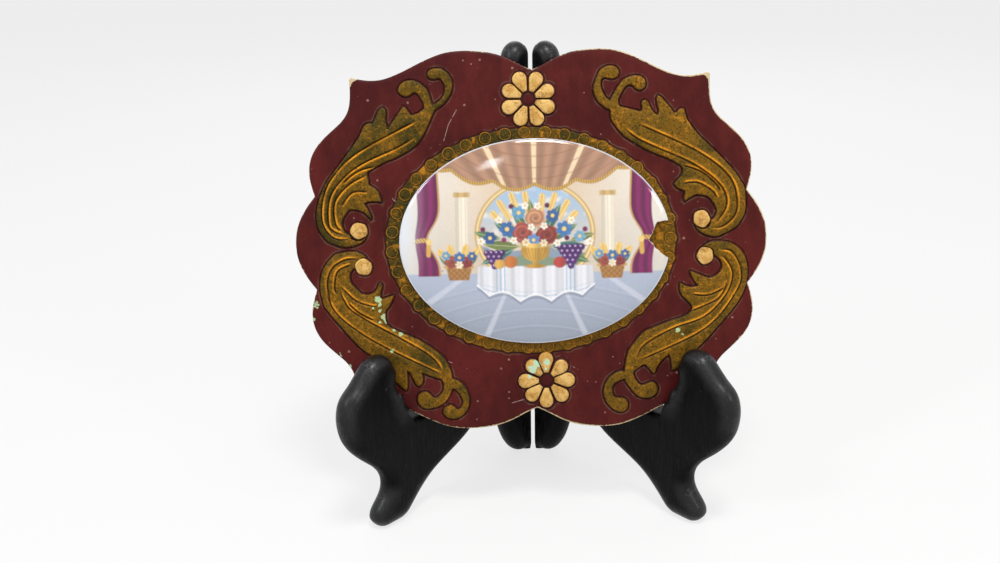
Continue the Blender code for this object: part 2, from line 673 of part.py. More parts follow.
def make_cameo(parts, tools):
    """Build the domed porcelain oval with the bite broken out of its right edge."""
    rings = 7
    dome = []
    for i in range(rings):
        angle = math.pi / 2 * i / (rings - 1)
        dome.append((math.sin(angle), CAMEO_RIM + CAMEO_RISE * math.cos(angle)))
    profile = dome + [(1.0, CAMEO_RIM * 0.4), (0.975, 0.0), (0.0, 0.0)]
    cameo = applied(turned("cameo_oval", profile, parts, steps=OVAL_STEPS), parts)
    move_mesh(cameo, Matrix.Diagonal((CAMEO_HALF_WIDTH, CAMEO_HALF_HEIGHT, 1, 1)))
    edge, bite = CAMEO_HALF_WIDTH, CHIP_DEPTH
    outline = ((edge + bite, CHIP_HALF_HEIGHT * 1.1), (edge - bite * 0.62, CHIP_HALF_HEIGHT * 0.86),
               (edge - bite, -CHIP_HALF_HEIGHT * 0.05),
               (edge - bite * 0.66, -CHIP_HALF_HEIGHT * 0.52),
               (edge + bite, -CHIP_HALF_HEIGHT * 1.9))
    cutter = flat_slab("chip_cutter", [outline], 4 * (CAMEO_RIM + CAMEO_RISE), tools)
    move_mesh(cutter, Matrix.Translation((0, 0, -CAMEO_RIM)))
    boolean(cameo, cutter)
    return cameo, cutter


def build_ornament(face, parts, tools, finishes):
    """Build everything that lies on the board's painted front."""
    for name, runs, x_side, y_side in SCROLL_PLACES:
        scroll = make_scroll(name, runs, x_side, y_side, parts)
        place(scroll, face, material=finishes["gilt"])
    for name, x, y, turn in FLOWER_PLACES:
        place(make_flower(name, x, y, turn, parts), face, material=finishes["pale_gilt"])
    for name, x, y in DOT_PLACES:
        dot, seat = make_pearl(name, x, y, parts)
        place(dot, face, seat, finishes["pale_gilt"])
        shade_round(dot)
    ground = flat_slab("gilt_oval_ground", [ellipse(GROUND_HALF_WIDTH, GROUND_HALF_HEIGHT)],
                       GROUND_THICKNESS, parts)
    place(bevelled(ground, RELIEF_ROUND, 1), face, material=finishes["gilt"])
    pad_level = GROUND_THICKNESS + GAP
    pad = flat_slab("cameo_adhesive", [ellipse(CAMEO_HALF_WIDTH - ADHESIVE_MARGIN,
                                               CAMEO_HALF_HEIGHT - ADHESIVE_MARGIN, 36)],
                    ADHESIVE_THICKNESS, parts)
    place(pad, face, Matrix.Translation((0, CAMEO_SHIFT_UP, pad_level)), finishes["adhesive"])
    cameo, cutter = make_cameo(parts, tools)
    level = pad_level + ADHESIVE_THICKNESS + GAP
    seat = Matrix.Translation((0, CAMEO_SHIFT_UP, level))
    place(cameo, face, seat, finishes["porcelain"])
    shade_round(cameo)
    cutter.parent = face
    cutter.matrix_local = seat


def make_strap(parts, tools):
    """Build the strap with its rolled eye, in a frame at the eye's axis.

    X runs along the eye, Y up the board and Z out of the board's back.
    """
    outer = LOOP_BORE + STRAP_THICKNESS
    lap = -outer + OVERCUT
    strap = box("hanger_strap", (-STRAP_WIDTH / 2, -STRAP_LENGTH, lap),
                (STRAP_WIDTH / 2, 0, lap + STRAP_THICKNESS), parts)
    eye = cylinder("strap_eye", outer, STRAP_WIDTH, tools)
    lie = Matrix.Rotation(math.pi / 2, 4, "Y")
    move_mesh(eye, lie @ Matrix.Translation((0, 0, -STRAP_WIDTH / 2)))
    bore = cylinder("strap_bore", LOOP_BORE, STRAP_WIDTH * 2, tools)
    move_mesh(bore, lie @ Matrix.Translation((0, 0, -STRAP_WIDTH)))
    boolean(strap, eye, "UNION")
    boolean(strap, bore)
    cutters = [eye, bore]
    for number, y in enumerate(brad_places(), 1):
        hole = cylinder(f"strap_hole_{number}", BRAD_SHANK_RADIUS + GAP, CUT_THROUGH, tools,
                        steps=BRAD_STEPS)
        move_mesh(hole, Matrix.Translation((0, y, -CUT_THROUGH / 2)))
        boolean(strap, hole)
        cutters.append(hole)
    return strap, cutters


def brad_places():
    """Return the brads' distances along the strap from its eye."""
    first = -LOOP_BORE - STRAP_THICKNESS - BRAD_SETBACK
    return (first, first - BRAD_SPACING)


def ring_route():
    """Return the ring's wire as a closed route below the eye's axis, in XY."""
    half = RING_HALF_WIDTH
    corner = RING_CORNER
    bend = corner * 0.27
    points = [(half - corner, 0.0), (half - bend, -bend), (half, -corner)]
    bow = [(half * math.cos(a), -RING_DROP - half * math.sin(a))
           for a in (math.pi * i / 12 for i in range(13))]
    points += bow
    points += [(-half, -corner), (-half + bend, -bend), (-half + corner, 0.0)]
    return points


def make_ring(parts):
    """Build the wire ring, its straight side on the eye's axis."""
    curve = bpy.data.curves.new("hanger_ring", "CURVE")
    curve.dimensions = "3D"
    curve.bevel_depth = RING_WIRE_RADIUS
    curve.bevel_resolution = 2
    spline = curve.splines.new("POLY")
    route = ring_route()
    spline.points.add(len(route) - 1)
    for point, (x, y) in zip(spline.points, route):
        point.co = (x, y, 0.0, 1.0)
    spline.use_cyclic_u = True
    ring = bpy.data.objects.new("hanger_ring", curve)
    parts.objects.link(ring)
    return ring


def make_brad(name, parts):
    """Build a round-headed brad that holds the strap."""
    head = BRAD_HEAD_RADIUS
    return turned(name, (
        (0.0, BRAD_HEAD),
        (head * 0.6, BRAD_HEAD * 0.85),
        (head, BRAD_HEAD * 0.35),
        (head, 0.0),
        (BRAD_SHANK_RADIUS, 0.0),
        (BRAD_SHANK_RADIUS, -BRAD_LENGTH + BRAD_POINT),
        (0.0, -BRAD_LENGTH),
    ), parts, steps=16)


def build_hanger(board, back, parts, tools, finishes):
    """Build the strap, its brads and the ring on the board's back."""
    outer = LOOP_BORE + STRAP_THICKNESS
    to_back = Matrix.Translation((0, HANGER_HEIGHT, -GAP - outer))
    eye_frame = make_empty("ring_axis", parts, back, to_back @ Matrix.Rotation(math.pi, 4, "Y"))
    strap, cutters = make_strap(parts, tools)
    place(strap, eye_frame, material=finishes["brass"])
    for cutter in cutters:
        cutter.parent = eye_frame
    ring = make_ring(parts)
    ring.parent = eye_frame
    ring.matrix_local = Matrix.Rotation(-BOARD_LEAN, 4, "X")
    ring.data.materials.append(finishes["brass"])
    top = -outer + OVERCUT + STRAP_THICKNESS + GAP
    for number, y in enumerate(brad_places(), 1):
        brad = make_brad(f"hanger_brad_{number}", parts)
        place(brad, eye_frame, Matrix.Translation((0, y, top)), finishes["brass"])
        shade_round(brad)
        pilot = cylinder(f"board_pilot_{number}", BRAD_SHANK_RADIUS + GAP, 2 * PILOT_DEPTH,
                         tools, steps=BRAD_STEPS)
        move_mesh(pilot, Matrix.Translation((0, y, -outer - PILOT_DEPTH)))
        pilot.parent = eye_frame
        boolean(board, pilot)


def edge_depth(x):
    """Return how far below its middle the board's lower edge lies at a side distance."""
    outline = board_outline()
    for start, end in zip(outline, outline[1:] + outline[:1]):
        low, high = sorted((start[0], end[0]))
        if low <= x <= high and low < high and start[1] < 0:
            slope = (end[1] - start[1]) / (end[0] - start[0])
            return -(start[1] + slope * (x - start[0]))
    raise ValueError("the wings' notches lie outside the board")


def notch_side_distance():
    """Return how far to the side of the spine the notches' inner noses lie."""
    nose = WING_INNER_FACE + WING_ROUND
    rest_u = NOTCH_MIDDLE - BACK_EDGE_INSET
    return rest_u * math.sin(WING_OPEN_ANGLE) + nose * math.cos(WING_OPEN_ANGLE)


def build_plaque(assembly, parts, tools, finishes):
    """Build the board and what it carries, leaning in the easel."""
    reach = notch_side_distance()
    depth = max(edge_depth(side * reach - BOARD_SIDE_SHIFT) for side in (-1, 1))
    height = NOTCH_FLOOR + SEAT_CLEARANCE + depth * math.cos(BOARD_LEAN)
    middle = (BOARD_SIDE_SHIFT, -board_back(height), height)
    lean = Matrix.Rotation(math.pi / 2 - BOARD_LEAN, 4, "X")
    back = make_empty("plaque_back_frame", parts, assembly, Matrix.Translation(middle) @ lean)
    board = place(make_board(parts), back, material=finishes["maroon_paint"])
    face = make_empty("plaque_face_frame", parts, back,
                      Matrix.Translation((0, 0, BOARD_THICKNESS + GAP)))
    build_ornament(face, parts, tools, finishes)
    build_hanger(board, back, parts, tools, finishes)


def centre_on_origin(assembly, parts):
    """Shift the assembly so that the middle of its footprint is the origin."""
    bpy.context.view_layer.update()
    graph = bpy.context.evaluated_depsgraph_get()
    corners = []
    for obj in parts.objects:
        if obj.type in {"MESH", "CURVE"}:
            live = obj.evaluated_get(graph)
            mesh = live.to_mesh()
            corners += [live.matrix_world @ vertex.co for vertex in mesh.vertices]
            live.to_mesh_clear()
    for axis in (0, 1):
        values = [corner[axis] for corner in corners]
        assembly.location[axis] = -(min(values) + max(values)) / 2
    print("assembly shift in mm", [round(value / MM, 3) for value in assembly.location])


def main():
    """Build the whole plaque and easel."""
    clear_scene()
    parts = bpy.data.collections.new("wall_plaque_on_easel")
    tools = bpy.data.collections.new("cutters")
    for collection in (parts, tools):
        bpy.context.scene.collection.children.link(collection)
    finishes = {
        "maroon_paint": make_material("maroon_paint", (0.093, 0.016, 0.015), 0.38),
        "gilt": make_material("antique_gilt", (0.19, 0.11, 0.012), 0.42, 0.6),
        "pale_gilt": make_material("pale_gilt", (0.74, 0.45, 0.13), 0.4, 0.3),
        "porcelain": make_material("glazed_porcelain", (0.82, 0.8, 0.76), 0.06),
        "adhesive": make_material("adhesive", (0.3, 0.24, 0.12), 0.5),
        "black_wood": make_material("black_wood", (0.012, 0.011, 0.012), 0.34),
        "brass": make_material("brass", (0.6, 0.42, 0.16), 0.35, 1.0),
        "steel": make_material("steel", (0.5, 0.5, 0.5), 0.3, 1.0),
    }
    assembly = make_empty("assembly", parts)
    build_easel(assembly, parts, tools, finishes)
    build_plaque(assembly, parts, tools, finishes)
    centre_on_origin(assembly, parts)


main()
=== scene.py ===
"""Looks of a painted wall plaque with a glazed porcelain oval, on its folding easel.

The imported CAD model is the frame. Lengths inside a piece's own plane are in
millimetres and are turned into metres when its mesh is made.
"""

from __future__ import annotations

import logging
import math
from dataclasses import dataclass
from enum import Enum
from typing import Any, Callable, Sequence

import bmesh
import bpy
import numpy as np
from mathutils import Matrix, Vector
from mathutils.geometry import delaunay_2d_cdt


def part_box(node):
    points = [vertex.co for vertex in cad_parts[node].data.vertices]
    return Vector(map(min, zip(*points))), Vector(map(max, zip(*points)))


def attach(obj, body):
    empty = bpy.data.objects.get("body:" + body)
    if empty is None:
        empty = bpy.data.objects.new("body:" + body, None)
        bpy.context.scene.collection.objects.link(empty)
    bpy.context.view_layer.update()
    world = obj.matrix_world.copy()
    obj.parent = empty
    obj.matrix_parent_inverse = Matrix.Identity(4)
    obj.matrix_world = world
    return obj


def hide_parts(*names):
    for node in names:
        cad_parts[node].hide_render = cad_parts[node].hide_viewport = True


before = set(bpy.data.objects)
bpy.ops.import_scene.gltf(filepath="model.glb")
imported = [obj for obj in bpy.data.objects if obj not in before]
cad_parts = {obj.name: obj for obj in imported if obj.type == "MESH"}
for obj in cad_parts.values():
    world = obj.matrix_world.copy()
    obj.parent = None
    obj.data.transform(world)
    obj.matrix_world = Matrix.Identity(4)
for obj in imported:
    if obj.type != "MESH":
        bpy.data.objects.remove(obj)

MM = 0.001
BOARD_THICKNESS = 6.0
LOG = logging.getLogger("plaque")
Array = np.ndarray
Colour = tuple[float, float, float]
Level = Callable[[Array], Array]
Point = tuple[float, float]
Spot = tuple[float, float, float]
Effects = dict[str, bpy.types.NodeTree]


class Slot(str, Enum):
    """The material slots."""

    MAROON = "maroon_paint"
    GILT = "antique_gilt"
    PALE_GILT = "pale_gilt"
    PORCELAIN = "glazed_porcelain"
    ADHESIVE = "adhesive"
    BLACK_WOOD = "black_wood"
    BRASS = "brass"
    STEEL = "steel"


class Body(str, Enum):
    """The CAD bodies that pieces ride on."""

    LEFT_FOLD = "left_fold"
    RIGHT_FOLD = "right_fold"
    PLAQUE = "plaque"


class Zone(Enum):
    """The parts of a closed piece's surface."""

    FACE = 0
    WALL = 1
    BACK = 2


# Plane geometry, in millimetres


def ramp(value: Array, low: float, high: float) -> Array:
    """Return a smooth rise from 0 at low to 1 at high, or a fall if high is under low."""
    share = np.clip((value - low) / (high - low), 0.0, 1.0)
    return share * share * (3.0 - 2.0 * share)


def bell(value: Array, middle: float, width: float) -> Array:
    """Return a bell curve of height 1 round its middle."""
    return np.exp(-(((value - middle) / width) ** 2))


def circle(angle: Array) -> Array:
    """Return the points of a circle of radius 1 at some angles."""
    return np.column_stack([np.cos(angle), np.sin(angle)])


def distance(points: Array, place: Sequence[float] = (0.0, 0.0)) -> Array:
    """Return each point's distance from a place."""
    return np.linalg.norm(points - np.array(place), axis=1)


def round_off(gap: Array, radius: float) -> Array:
    """Return how far a rounded edge falls at each distance inside its outline."""
    share = 1 - np.clip(gap / radius, 0, 1)
    return radius * (1 - np.sqrt(1 - share ** 2))


def blotches(points: Array, cell: float, seed: int) -> Array:
    """Return smooth value noise from 0 to 1.

    Args:
        points: Points in the plane.
        cell: Size of one blotch.
        seed: Number of the pattern.

    Returns:
        One value for each point.
    """
    grid = points / cell
    base = np.floor(grid).astype(np.int64)
    part = grid - base
    part = part * part * (3.0 - 2.0 * part)

    def corner(right: int, up: int) -> Array:
        mixed = (base[:, 0] + right) * 374761393 + (base[:, 1] + up) * 668265263 + seed * 144665
        mixed = (mixed ^ (mixed >> 13)) * 1274126177
        return ((mixed ^ (mixed >> 16)) & 0xFFFF) / 65535.0

    low = corner(0, 0) * (1 - part[:, 0]) + corner(1, 0) * part[:, 0]
    high = corner(0, 1) * (1 - part[:, 0]) + corner(1, 1) * part[:, 0]
    return low * (1 - part[:, 1]) + high * part[:, 1]


def waver(points: Array, cell: float, seed: int) -> Array:
    """Return smooth value noise from -0.5 to 0.5."""
    return blotches(points, cell, seed) - 0.5


def spots(points: Array, places: Sequence[Spot], ragged: Array | float, inner: float,
          squash: Point = (1.0, 1.0)) -> Array:
    """Return 1 on round spots and 0 away from them.

    Args:
        points: Points in the plane.
        places: The spots' middles and radii.
        ragged: What is added to each point's distance.
        inner: Share of the radius from which a spot fades.
        squash: How distances across and up are weighed.

    Returns:
        The mask.
    """
    worn = np.zeros(len(points))
    for x, y, radius in places:
        far = np.linalg.norm((points - (x, y)) * squash, axis=1) + ragged
        worn = np.maximum(worn, ramp(far, radius, inner * radius))
    return worn


def closed(loop: Array) -> Array:
    """Return a loop with its first point repeated at the end."""
    return np.vstack([loop, loop[:1]])


def inside(points: Array, loop: Array) -> Array:
    """Tell which points lie inside a closed loop.

    Args:
        points: Points in the plane.
        loop: The outline.

    Returns:
        True for each point inside.
    """
    x, y = points.T
    hit = np.zeros(len(points), bool)
    for (ax, ay), (bx, by) in zip(loop, np.roll(loop, -1, axis=0)):
        if ay != by:
            between = (ay > y) != (by > y)
            hit ^= between & (x < (bx - ax) * (y - ay) / (by - ay) + ax)
    return hit


@dataclass
class Nearness:
    """How points lie to a line.

    Attributes:
        gap: Distance, capped at the reach.
        side: Distance with the sign of the side, positive on the left.
        along: Share of the way along the line.
    """

    gap: Array
    side: Array
    along: Array


def nearness(points: Array, line: Array, reach: float) -> Nearness:
    """Measure points against an open line.

    Args:
        points: Points in the plane.
        line: The line's points.
        reach: Distance past which a point counts as far.

    Returns:
        The measures of every point.
    """
    gap = np.full(len(points), reach)
    side = np.full(len(points), reach)
    along = np.zeros(len(points))
    low, high = line.min(axis=0) - reach, line.max(axis=0) + reach
    near = np.flatnonzero(np.all((points > low) & (points < high), axis=1))
    step = np.diff(line, axis=0)
    length = np.linalg.norm(step, axis=1)
    travelled = np.concatenate([[0.0], np.cumsum(length)])
    dx, dy = (step / np.maximum(length, 1e-9)[:, None] ** 2).T
    for chunk in np.array_split(near, len(near) // 2000 + 1):
        off_x = points[chunk, 0][:, None] - line[:-1, 0]
        off_y = points[chunk, 1][:, None] - line[:-1, 1]
        share = np.clip(off_x * dx + off_y * dy, 0, 1)
        squared = (off_x - share * step[:, 0]) ** 2 + (off_y - share * step[:, 1]) ** 2
        best = squared.argmin(axis=1)
        rows = np.arange(len(chunk))
        found = np.sqrt(squared[rows, best])
        cross = step[best, 0] * off_y[rows, best] - step[best, 1] * off_x[rows, best]
        gap[chunk] = np.minimum(found, reach)
        side[chunk] = np.where(cross < 0, -gap[chunk], gap[chunk])
        along[chunk] = (travelled[best] + share[rows, best] * length[best]) / travelled[-1]
    return Nearness(gap, side, along)


def edge_distance(points: Array, loop: Array, reach: float = 6.0) -> Array:
    """Return each point's distance to a closed outline, capped at the reach."""
    return nearness(points, closed(loop), reach).gap


def even_line(line: Array, spacing: float) -> Array:
    """Return a line's points at even distances, its ends kept.

    Args:
        line: The line.
        spacing: The largest distance between points.

    Returns:
        The new points.
    """
    travelled = np.concatenate([[0.0], np.cumsum(np.linalg.norm(np.diff(line, axis=0), axis=1))])
    count = max(1, math.ceil(travelled[-1] / spacing - 1e-6))
    marks = np.linspace(0.0, travelled[-1], count + 1)
    return np.column_stack([np.interp(marks, travelled, line[:, axis]) for axis in (0, 1)])


def smooth_line(points: Array, spacing: float, around: bool = False) -> Array:
    """Return a smooth line through points.

    Args:
        points: The points to pass through.
        spacing: The largest distance between the new points.
        around: Whether the last point runs on into the first.

    Returns:
        The new points, the first and last kept.
    """
    points = np.asarray(points, float)
    before = points[-2:-1] if around else points[:1]
    after = points[1:2] if around else points[-1:]
    padded = np.vstack([before, points, after])
    t = np.linspace(0, 1, 9)[:-1, None]
    line = []
    for a, b, c, d in zip(padded, padded[1:], padded[2:], padded[3:]):
        line.append(0.5 * (2 * b + (c - a) * t + (2 * a - 5 * b + 4 * c - d) * t * t
                           + (3 * b - a - 3 * c + d) * t ** 3))
    return even_line(np.vstack([*line, points[-1:]]), spacing)


def bends(loop: Array) -> Array:
    """Return the turn in degrees at each point of an outline."""
    back = loop - np.roll(loop, 1, axis=0)
    ahead = np.roll(loop, -1, axis=0) - loop
    cross = back[:, 0] * ahead[:, 1] - back[:, 1] * ahead[:, 0]
    return np.degrees(np.abs(np.arctan2(cross, (back * ahead).sum(axis=1))))


def counterclockwise(loop: Array) -> Array:
    """Return an outline, turned round if it runs clockwise."""
    x, y = loop.T
    area = (x * np.roll(y, -1) - y * np.roll(x, -1)).sum()
    return loop if area > 0 else loop[::-1]


def smooth_loop(loop: Array, corner: float, spacing: float) -> Array:
    """Refine a closed outline and keep its corners sharp.

    Args:
        loop: The outline.
        corner: Turn in degrees from which a point is a corner.
        spacing: The largest distance between the new points.

    Returns:
        The new outline.
    """
    corners = np.flatnonzero(bends(loop) > corner)
    if not len(corners):
        return smooth_line(closed(loop), spacing, around=True)[:-1]
    runs = []
    for start, end in zip(corners, [*corners[1:], corners[0] + len(loop)]):
        run = loop[np.arange(start, end + 1) % len(loop)]
        runs.append(smooth_line(run, spacing)[:-1])
    return np.vstack(runs)


def well_inside(points: Array, loop: Array, margin: float) -> Array:
    """Return the points that lie inside an outline and farther from it than a margin."""
    points = points[inside(points, loop)]
    return points[edge_distance(points, loop, margin + 1.0) > margin]


def inset(loop: Array, depth: float) -> Array:
    """Return points a set depth inside an outline, or outside it if negative.

    Args:
        loop: The outline, counterclockwise.
        depth: How far inside.

    Returns:
        The points that truly lie that far from the outline.
    """
    tangent = np.roll(loop, -1, axis=0) - np.roll(loop, 1, axis=0)
    tangent /= np.maximum(np.linalg.norm(tangent, axis=1), 1e-9)[:, None]
    moved = loop + np.column_stack([-tangent[:, 1], tangent[:, 0]]) * depth
    gap = edge_distance(moved, loop, abs(depth) + 1.0)
    return moved[(gap > 0.85 * abs(depth)) & (inside(moved, loop) == (depth > 0))]


def hex_points(loop: Array, spacing: float, margin: float) -> Array:
    """Return evenly spread points inside an outline.

    Args:
        loop: The outline.
        spacing: Distance between points.
        margin: The least distance to the outline.

    Returns:
        The points.
    """
    low, high = loop.min(axis=0), loop.max(axis=0)
    rows = np.arange(low[1], high[1], spacing * math.sqrt(3) / 2)
    x, y = np.meshgrid(np.arange(low[0], high[0], spacing), rows)
    x = x + (np.arange(len(rows)) % 2)[:, None] * spacing / 2
    return well_inside(np.column_stack([x.ravel(), y.ravel()]), loop, margin)


def thin_out(points: Array, cell: float) -> Array:
    """Keep one point of those that share a cell of a fine grid."""
    keys = np.round(points / cell).astype(np.int64)
    _, first = np.unique(keys, axis=0, return_index=True)
    return points[np.sort(first)]


@dataclass
class Cap:
    """A flat outline cut into triangles.

    Attributes:
        points: All points.
        faces: Triangles, counterclockwise.
        rim: Places of the outline's points among all points.
    """

    points: Array
    faces: Array
    rim: Array


def fill(loop: Array, extra: Array) -> Cap:
    """Cut an outline into triangles that use extra points inside it.

    Args:
        loop: The outline, counterclockwise.
        extra: Points inside.

    Returns:
        The cap.
    """
    points = np.vstack([loop, extra])
    count = len(loop)
    edges = [(i, (i + 1) % count) for i in range(count)]
    found = delaunay_2d_cdt([Vector(p) for p in points], edges, [], 0, 1e-6)
    flat = np.array([tuple(p) for p in found[0]])
    faces = np.array([tuple(f) for f in found[2]])
    faces = faces[inside(flat[faces].mean(axis=1), loop)]
    rim = np.zeros(count, int)
    for index, sources in enumerate(found[3]):
        for source in sources:
            if source < count:
                rim[source] = index
    used, inverse = np.unique(faces, return_inverse=True)
    new_place = np.zeros(len(flat), int)
    new_place[used] = np.arange(len(used))
    return Cap(flat[used], inverse.reshape(faces.shape), new_place[rim])


@dataclass
class Shell:
    """A closed surface in a plane's own millimetres.

    Attributes:
        points: All points, with their height over the plane.
        faces: The faces.
        zone: The part of the surface each point belongs to.
    """

    points: Array
    faces: list[tuple[int, ...]]
    zone: Array

    def on(self, zone: Zone) -> Array:
        """Tell which points are on one part of the surface."""
        return self.zone == zone.value

    def make(self, name: str, plane: PlaneFrame, sharp: float = 55.0) -> bpy.types.Object:
        """Make an object of the shell, its place in its mesh.

        Args:
            name: Name of the piece.
            plane: The plane the shell is drawn in.
            sharp: Angle in degrees from which an edge stays sharp.

        Returns:
            The object, at the origin.
        """
        mesh = bpy.data.meshes.new(name)
        mesh.from_pydata((self.points * MM).tolist(), [], self.faces)
        mesh.transform(plane.matrix())
        mesh.shade_smooth()
        mesh.set_sharp_from_angle(angle=math.radians(sharp))
        mesh.update()
        return link(name, mesh)


def closed_shell(loop: Array, face_extra: Array, back_extra: Array, face_level: Level,
                 back_level: Level | float, rows: int = 2,
                 push: Callable[[Array, float], Array] | None = None) -> Shell:
    """Build a closed solid between two levels over one outline.

    Args:
        loop: The outline, counterclockwise.
        face_extra: Points inside for the face.
        back_extra: Points inside for the back.
        face_level: Heights of the face.
        back_level: Heights of the back, or its one height.
        rows: Rows of faces down the wall.
        push: Moves the wall's points out, from the points and their share down.

    Returns:
        The closed shell.
    """
    face, back = fill(loop, face_extra), fill(loop, back_extra)
    depth = back_level(back.points) if callable(back_level) else np.full(len(back.points), back_level)
    top = np.column_stack([face.points, face_level(face.points)])
    low = np.column_stack([back.points, depth])
    points, rings = [top, low], [face.rim]
    for share in np.arange(1, rows) / rows:
        ring = top[face.rim] * (1 - share) + low[back.rim] * share
        if push is not None:
            ring[:, :2] += push(ring[:, :2], share)
        rings.append(np.arange(len(ring)) + sum(map(len, points)))
        points.append(ring)
    rings.append(back.rim + len(top))
    faces = [tuple(f) for f in face.faces.tolist()]
    faces += [tuple(reversed(f)) for f in (back.faces + len(top)).tolist()]
    for upper, lower in zip(rings, rings[1:]):
        corners = np.column_stack([lower, np.roll(lower, -1), np.roll(upper, -1), upper])
        faces += [tuple(f) for f in corners.tolist()]
    zones = [Zone.FACE.value, Zone.BACK.value] + [Zone.WALL.value] * (rows - 1)
    return Shell(np.vstack(points), faces, np.repeat(zones, [len(part) for part in points]))


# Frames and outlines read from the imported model


@dataclass
class PlaneFrame:
    """A working plane in the row frame.

    Attributes:
        origin: Its origin, in metres.
        across: Its first axis.
        up: Its second axis.
        out: The direction that heights are measured in.
    """

    origin: Vector
    across: Vector
    up: Vector
    out: Vector

    def matrix(self) -> Matrix:
        """Return the plane's placement."""
        turn = Matrix((self.across, self.up, self.out)).transposed().to_4x4()
        return Matrix.Translation(self.origin) @ turn

    def local(self, points: Array) -> Array:
        """Return points of the row frame in the plane's millimetres."""
        axes = np.array([self.across, self.up, self.out])
        return (points - np.array(self.origin)) @ axes.T / MM


def node_points(name: str) -> Array:
    """Return a CAD node's vertices in metres."""
    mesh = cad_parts[name].data
    flat = np.zeros(len(mesh.vertices) * 3, np.float32)
    mesh.vertices.foreach_get("co", flat)
    return flat.reshape(-1, 3).astype(float)


def largest_normal(name: str, facing: Vector) -> Vector:
    """Return the normal of a CAD node's largest face towards a direction."""
    faces = [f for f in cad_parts[name].data.polygons if f.normal.dot(facing) > 0.8]
    return max(faces, key=lambda f: f.area).normal.copy()


def box_middle(name: str) -> Vector:
    """Return the middle of a CAD node's box."""
    low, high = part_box(name)
    return (low + high) / 2


def board_plane() -> PlaneFrame:
    """Return the plane of the board's back, its origin behind the oval's middle."""
    out = largest_normal("plaque_board", Vector((0, -0.95, 0.3)))
    out.x = 0.0
    out.normalize()
    across = Vector((1, 0, 0))
    level = float((node_points("plaque_board") @ np.array(out)).min())
    middle = box_middle("gilt_oval_ground")
    return PlaneFrame(middle - out * (middle.dot(out) - level), across, out.cross(across), out)


def wing_plane(name: str, side: int) -> PlaneFrame:
    """Return the middle plane of a wing, its origin at the spine on the table."""
    up = Vector((0, 0, 1))
    normal = largest_normal(name, Vector((side * 0.75, 0.66, 0)))
    across = up.cross(normal)
    across = across if across.y < 0 else -across
    out = across.cross(up).normalized()
    reach = node_points(name) @ np.array(out)
    axis = box_middle("upper_hinge_pin")
    axis.z = 0.0
    middle = float(reach.min() + reach.max()) / 2
    return PlaneFrame(axis + out * (middle - axis.dot(out)), across, up, out)


def section(name: str, plane: PlaneFrame, level: float) -> Array:
    """Cut a copy of a CAD node by a plane and return its longest outline.

    Args:
        name: The CAD node.
        plane: The working plane.
        level: Height of the cut over it, in millimetres.

    Returns:
        The outline in the plane's millimetres, counterclockwise.
    """
    work = bmesh.new()
    work.from_mesh(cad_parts[name].data)
    bmesh.ops.remove_doubles(work, verts=work.verts, dist=1e-6)
    cut = bmesh.ops.bisect_plane(work, geom=[*work.verts, *work.edges, *work.faces],
                                 plane_co=plane.origin + plane.out * level * MM,
                                 plane_no=plane.out)["geom_cut"]
    neighbours: dict[int, list[int]] = {}
    places: dict[int, Vector] = {}
    for edge in (item for item in cut if isinstance(item, bmesh.types.BMEdge)):
        first, second = edge.verts
        neighbours.setdefault(first.index, []).append(second.index)
        neighbours.setdefault(second.index, []).append(first.index)
        places[first.index], places[second.index] = first.co.copy(), second.co.copy()
    work.verts.index_update()
    work.free()
    loops = []
    left = set(neighbours)
    while left:
        here = min(left)
        loop = []
        while here is not None:
            loop.append(here)
            left.discard(here)
            here = next((other for other in neighbours[here] if other in left), None)
        loops.append(loop)
    flats = [plane.local(np.array([places[i] for i in loop]))[:, :2] for loop in loops]
    flat = max(flats, key=lambda points: np.ptp(points, axis=0).sum())
    return tidy_loop(flat)


# The plane that repeated pieces are drawn in, at the origin
TABLE = PlaneFrame(Vector(), Vector((1, 0, 0)), Vector((0, 1, 0)), Vector((0, 0, 1)))


def tidy_loop(loop: Array) -> Array:
    """Drop an outline's needless points and turn it counterclockwise."""
    loop = loop[distance(loop - np.roll(loop, 1, axis=0)) > 0.01]
    return counterclockwise(loop[bends(loop) > 0.3])


# Making objects


def link(name: str, data: Any) -> bpy.types.Object:
    """Return a linked object around a mesh, a lamp or a camera."""
    thing = bpy.data.objects.new(name, data)
    bpy.context.scene.collection.objects.link(thing)
    return thing


def mark(thing: bpy.types.Object, **masks: Array | float) -> None:
    """Store values for each point under the names that materials read."""
    for name, values in masks.items():
        attribute = thing.data.attributes.new(name, "FLOAT", "POINT")
        whole = np.broadcast_to(values, len(thing.data.vertices))
        attribute.data.foreach_set("value", whole.astype(np.float32))


def tint(thing: bpy.types.Object, name: str, colours: Array) -> None:
    """Store one linear colour for each point under a name that materials read."""
    attribute = thing.data.attributes.new(name, "FLOAT_COLOR", "POINT")
    whole = np.column_stack([colours, np.ones(len(colours))])
    attribute.data.foreach_set("color", whole.astype(np.float32).ravel())


def dress(thing: bpy.types.Object, material: bpy.types.Material) -> None:
    """Give an object one material."""
    thing.data.materials.clear()
    thing.data.materials.append(material)


def finish_piece(thing: bpy.types.Object, body: Body, slot: Slot, material: bpy.types.Material | None,
                 *nodes: str) -> None:
    """Give a piece its material and its body, and hide the CAD nodes it stands for.

    Args:
        thing: The piece.
        body: The CAD body it rides on.
        slot: The slot of its finish; not used.
        material: Its material, or None if its node tree has set one.
        nodes: CAD nodes it stands for.
    """
    if material is not None:
        dress(thing, material)
    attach(thing, body.value)
    if nodes:
        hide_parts(*nodes)
    LOG.info("%s: %d faces on %s", thing.name, len(thing.data.polygons), body.value)


# Writing node trees


FLOAT = "NodeSocketFloat"
VECTOR = "NodeSocketVector"
COLOUR = "NodeSocketColor"
GEOMETRY = "NodeSocketGeometry"


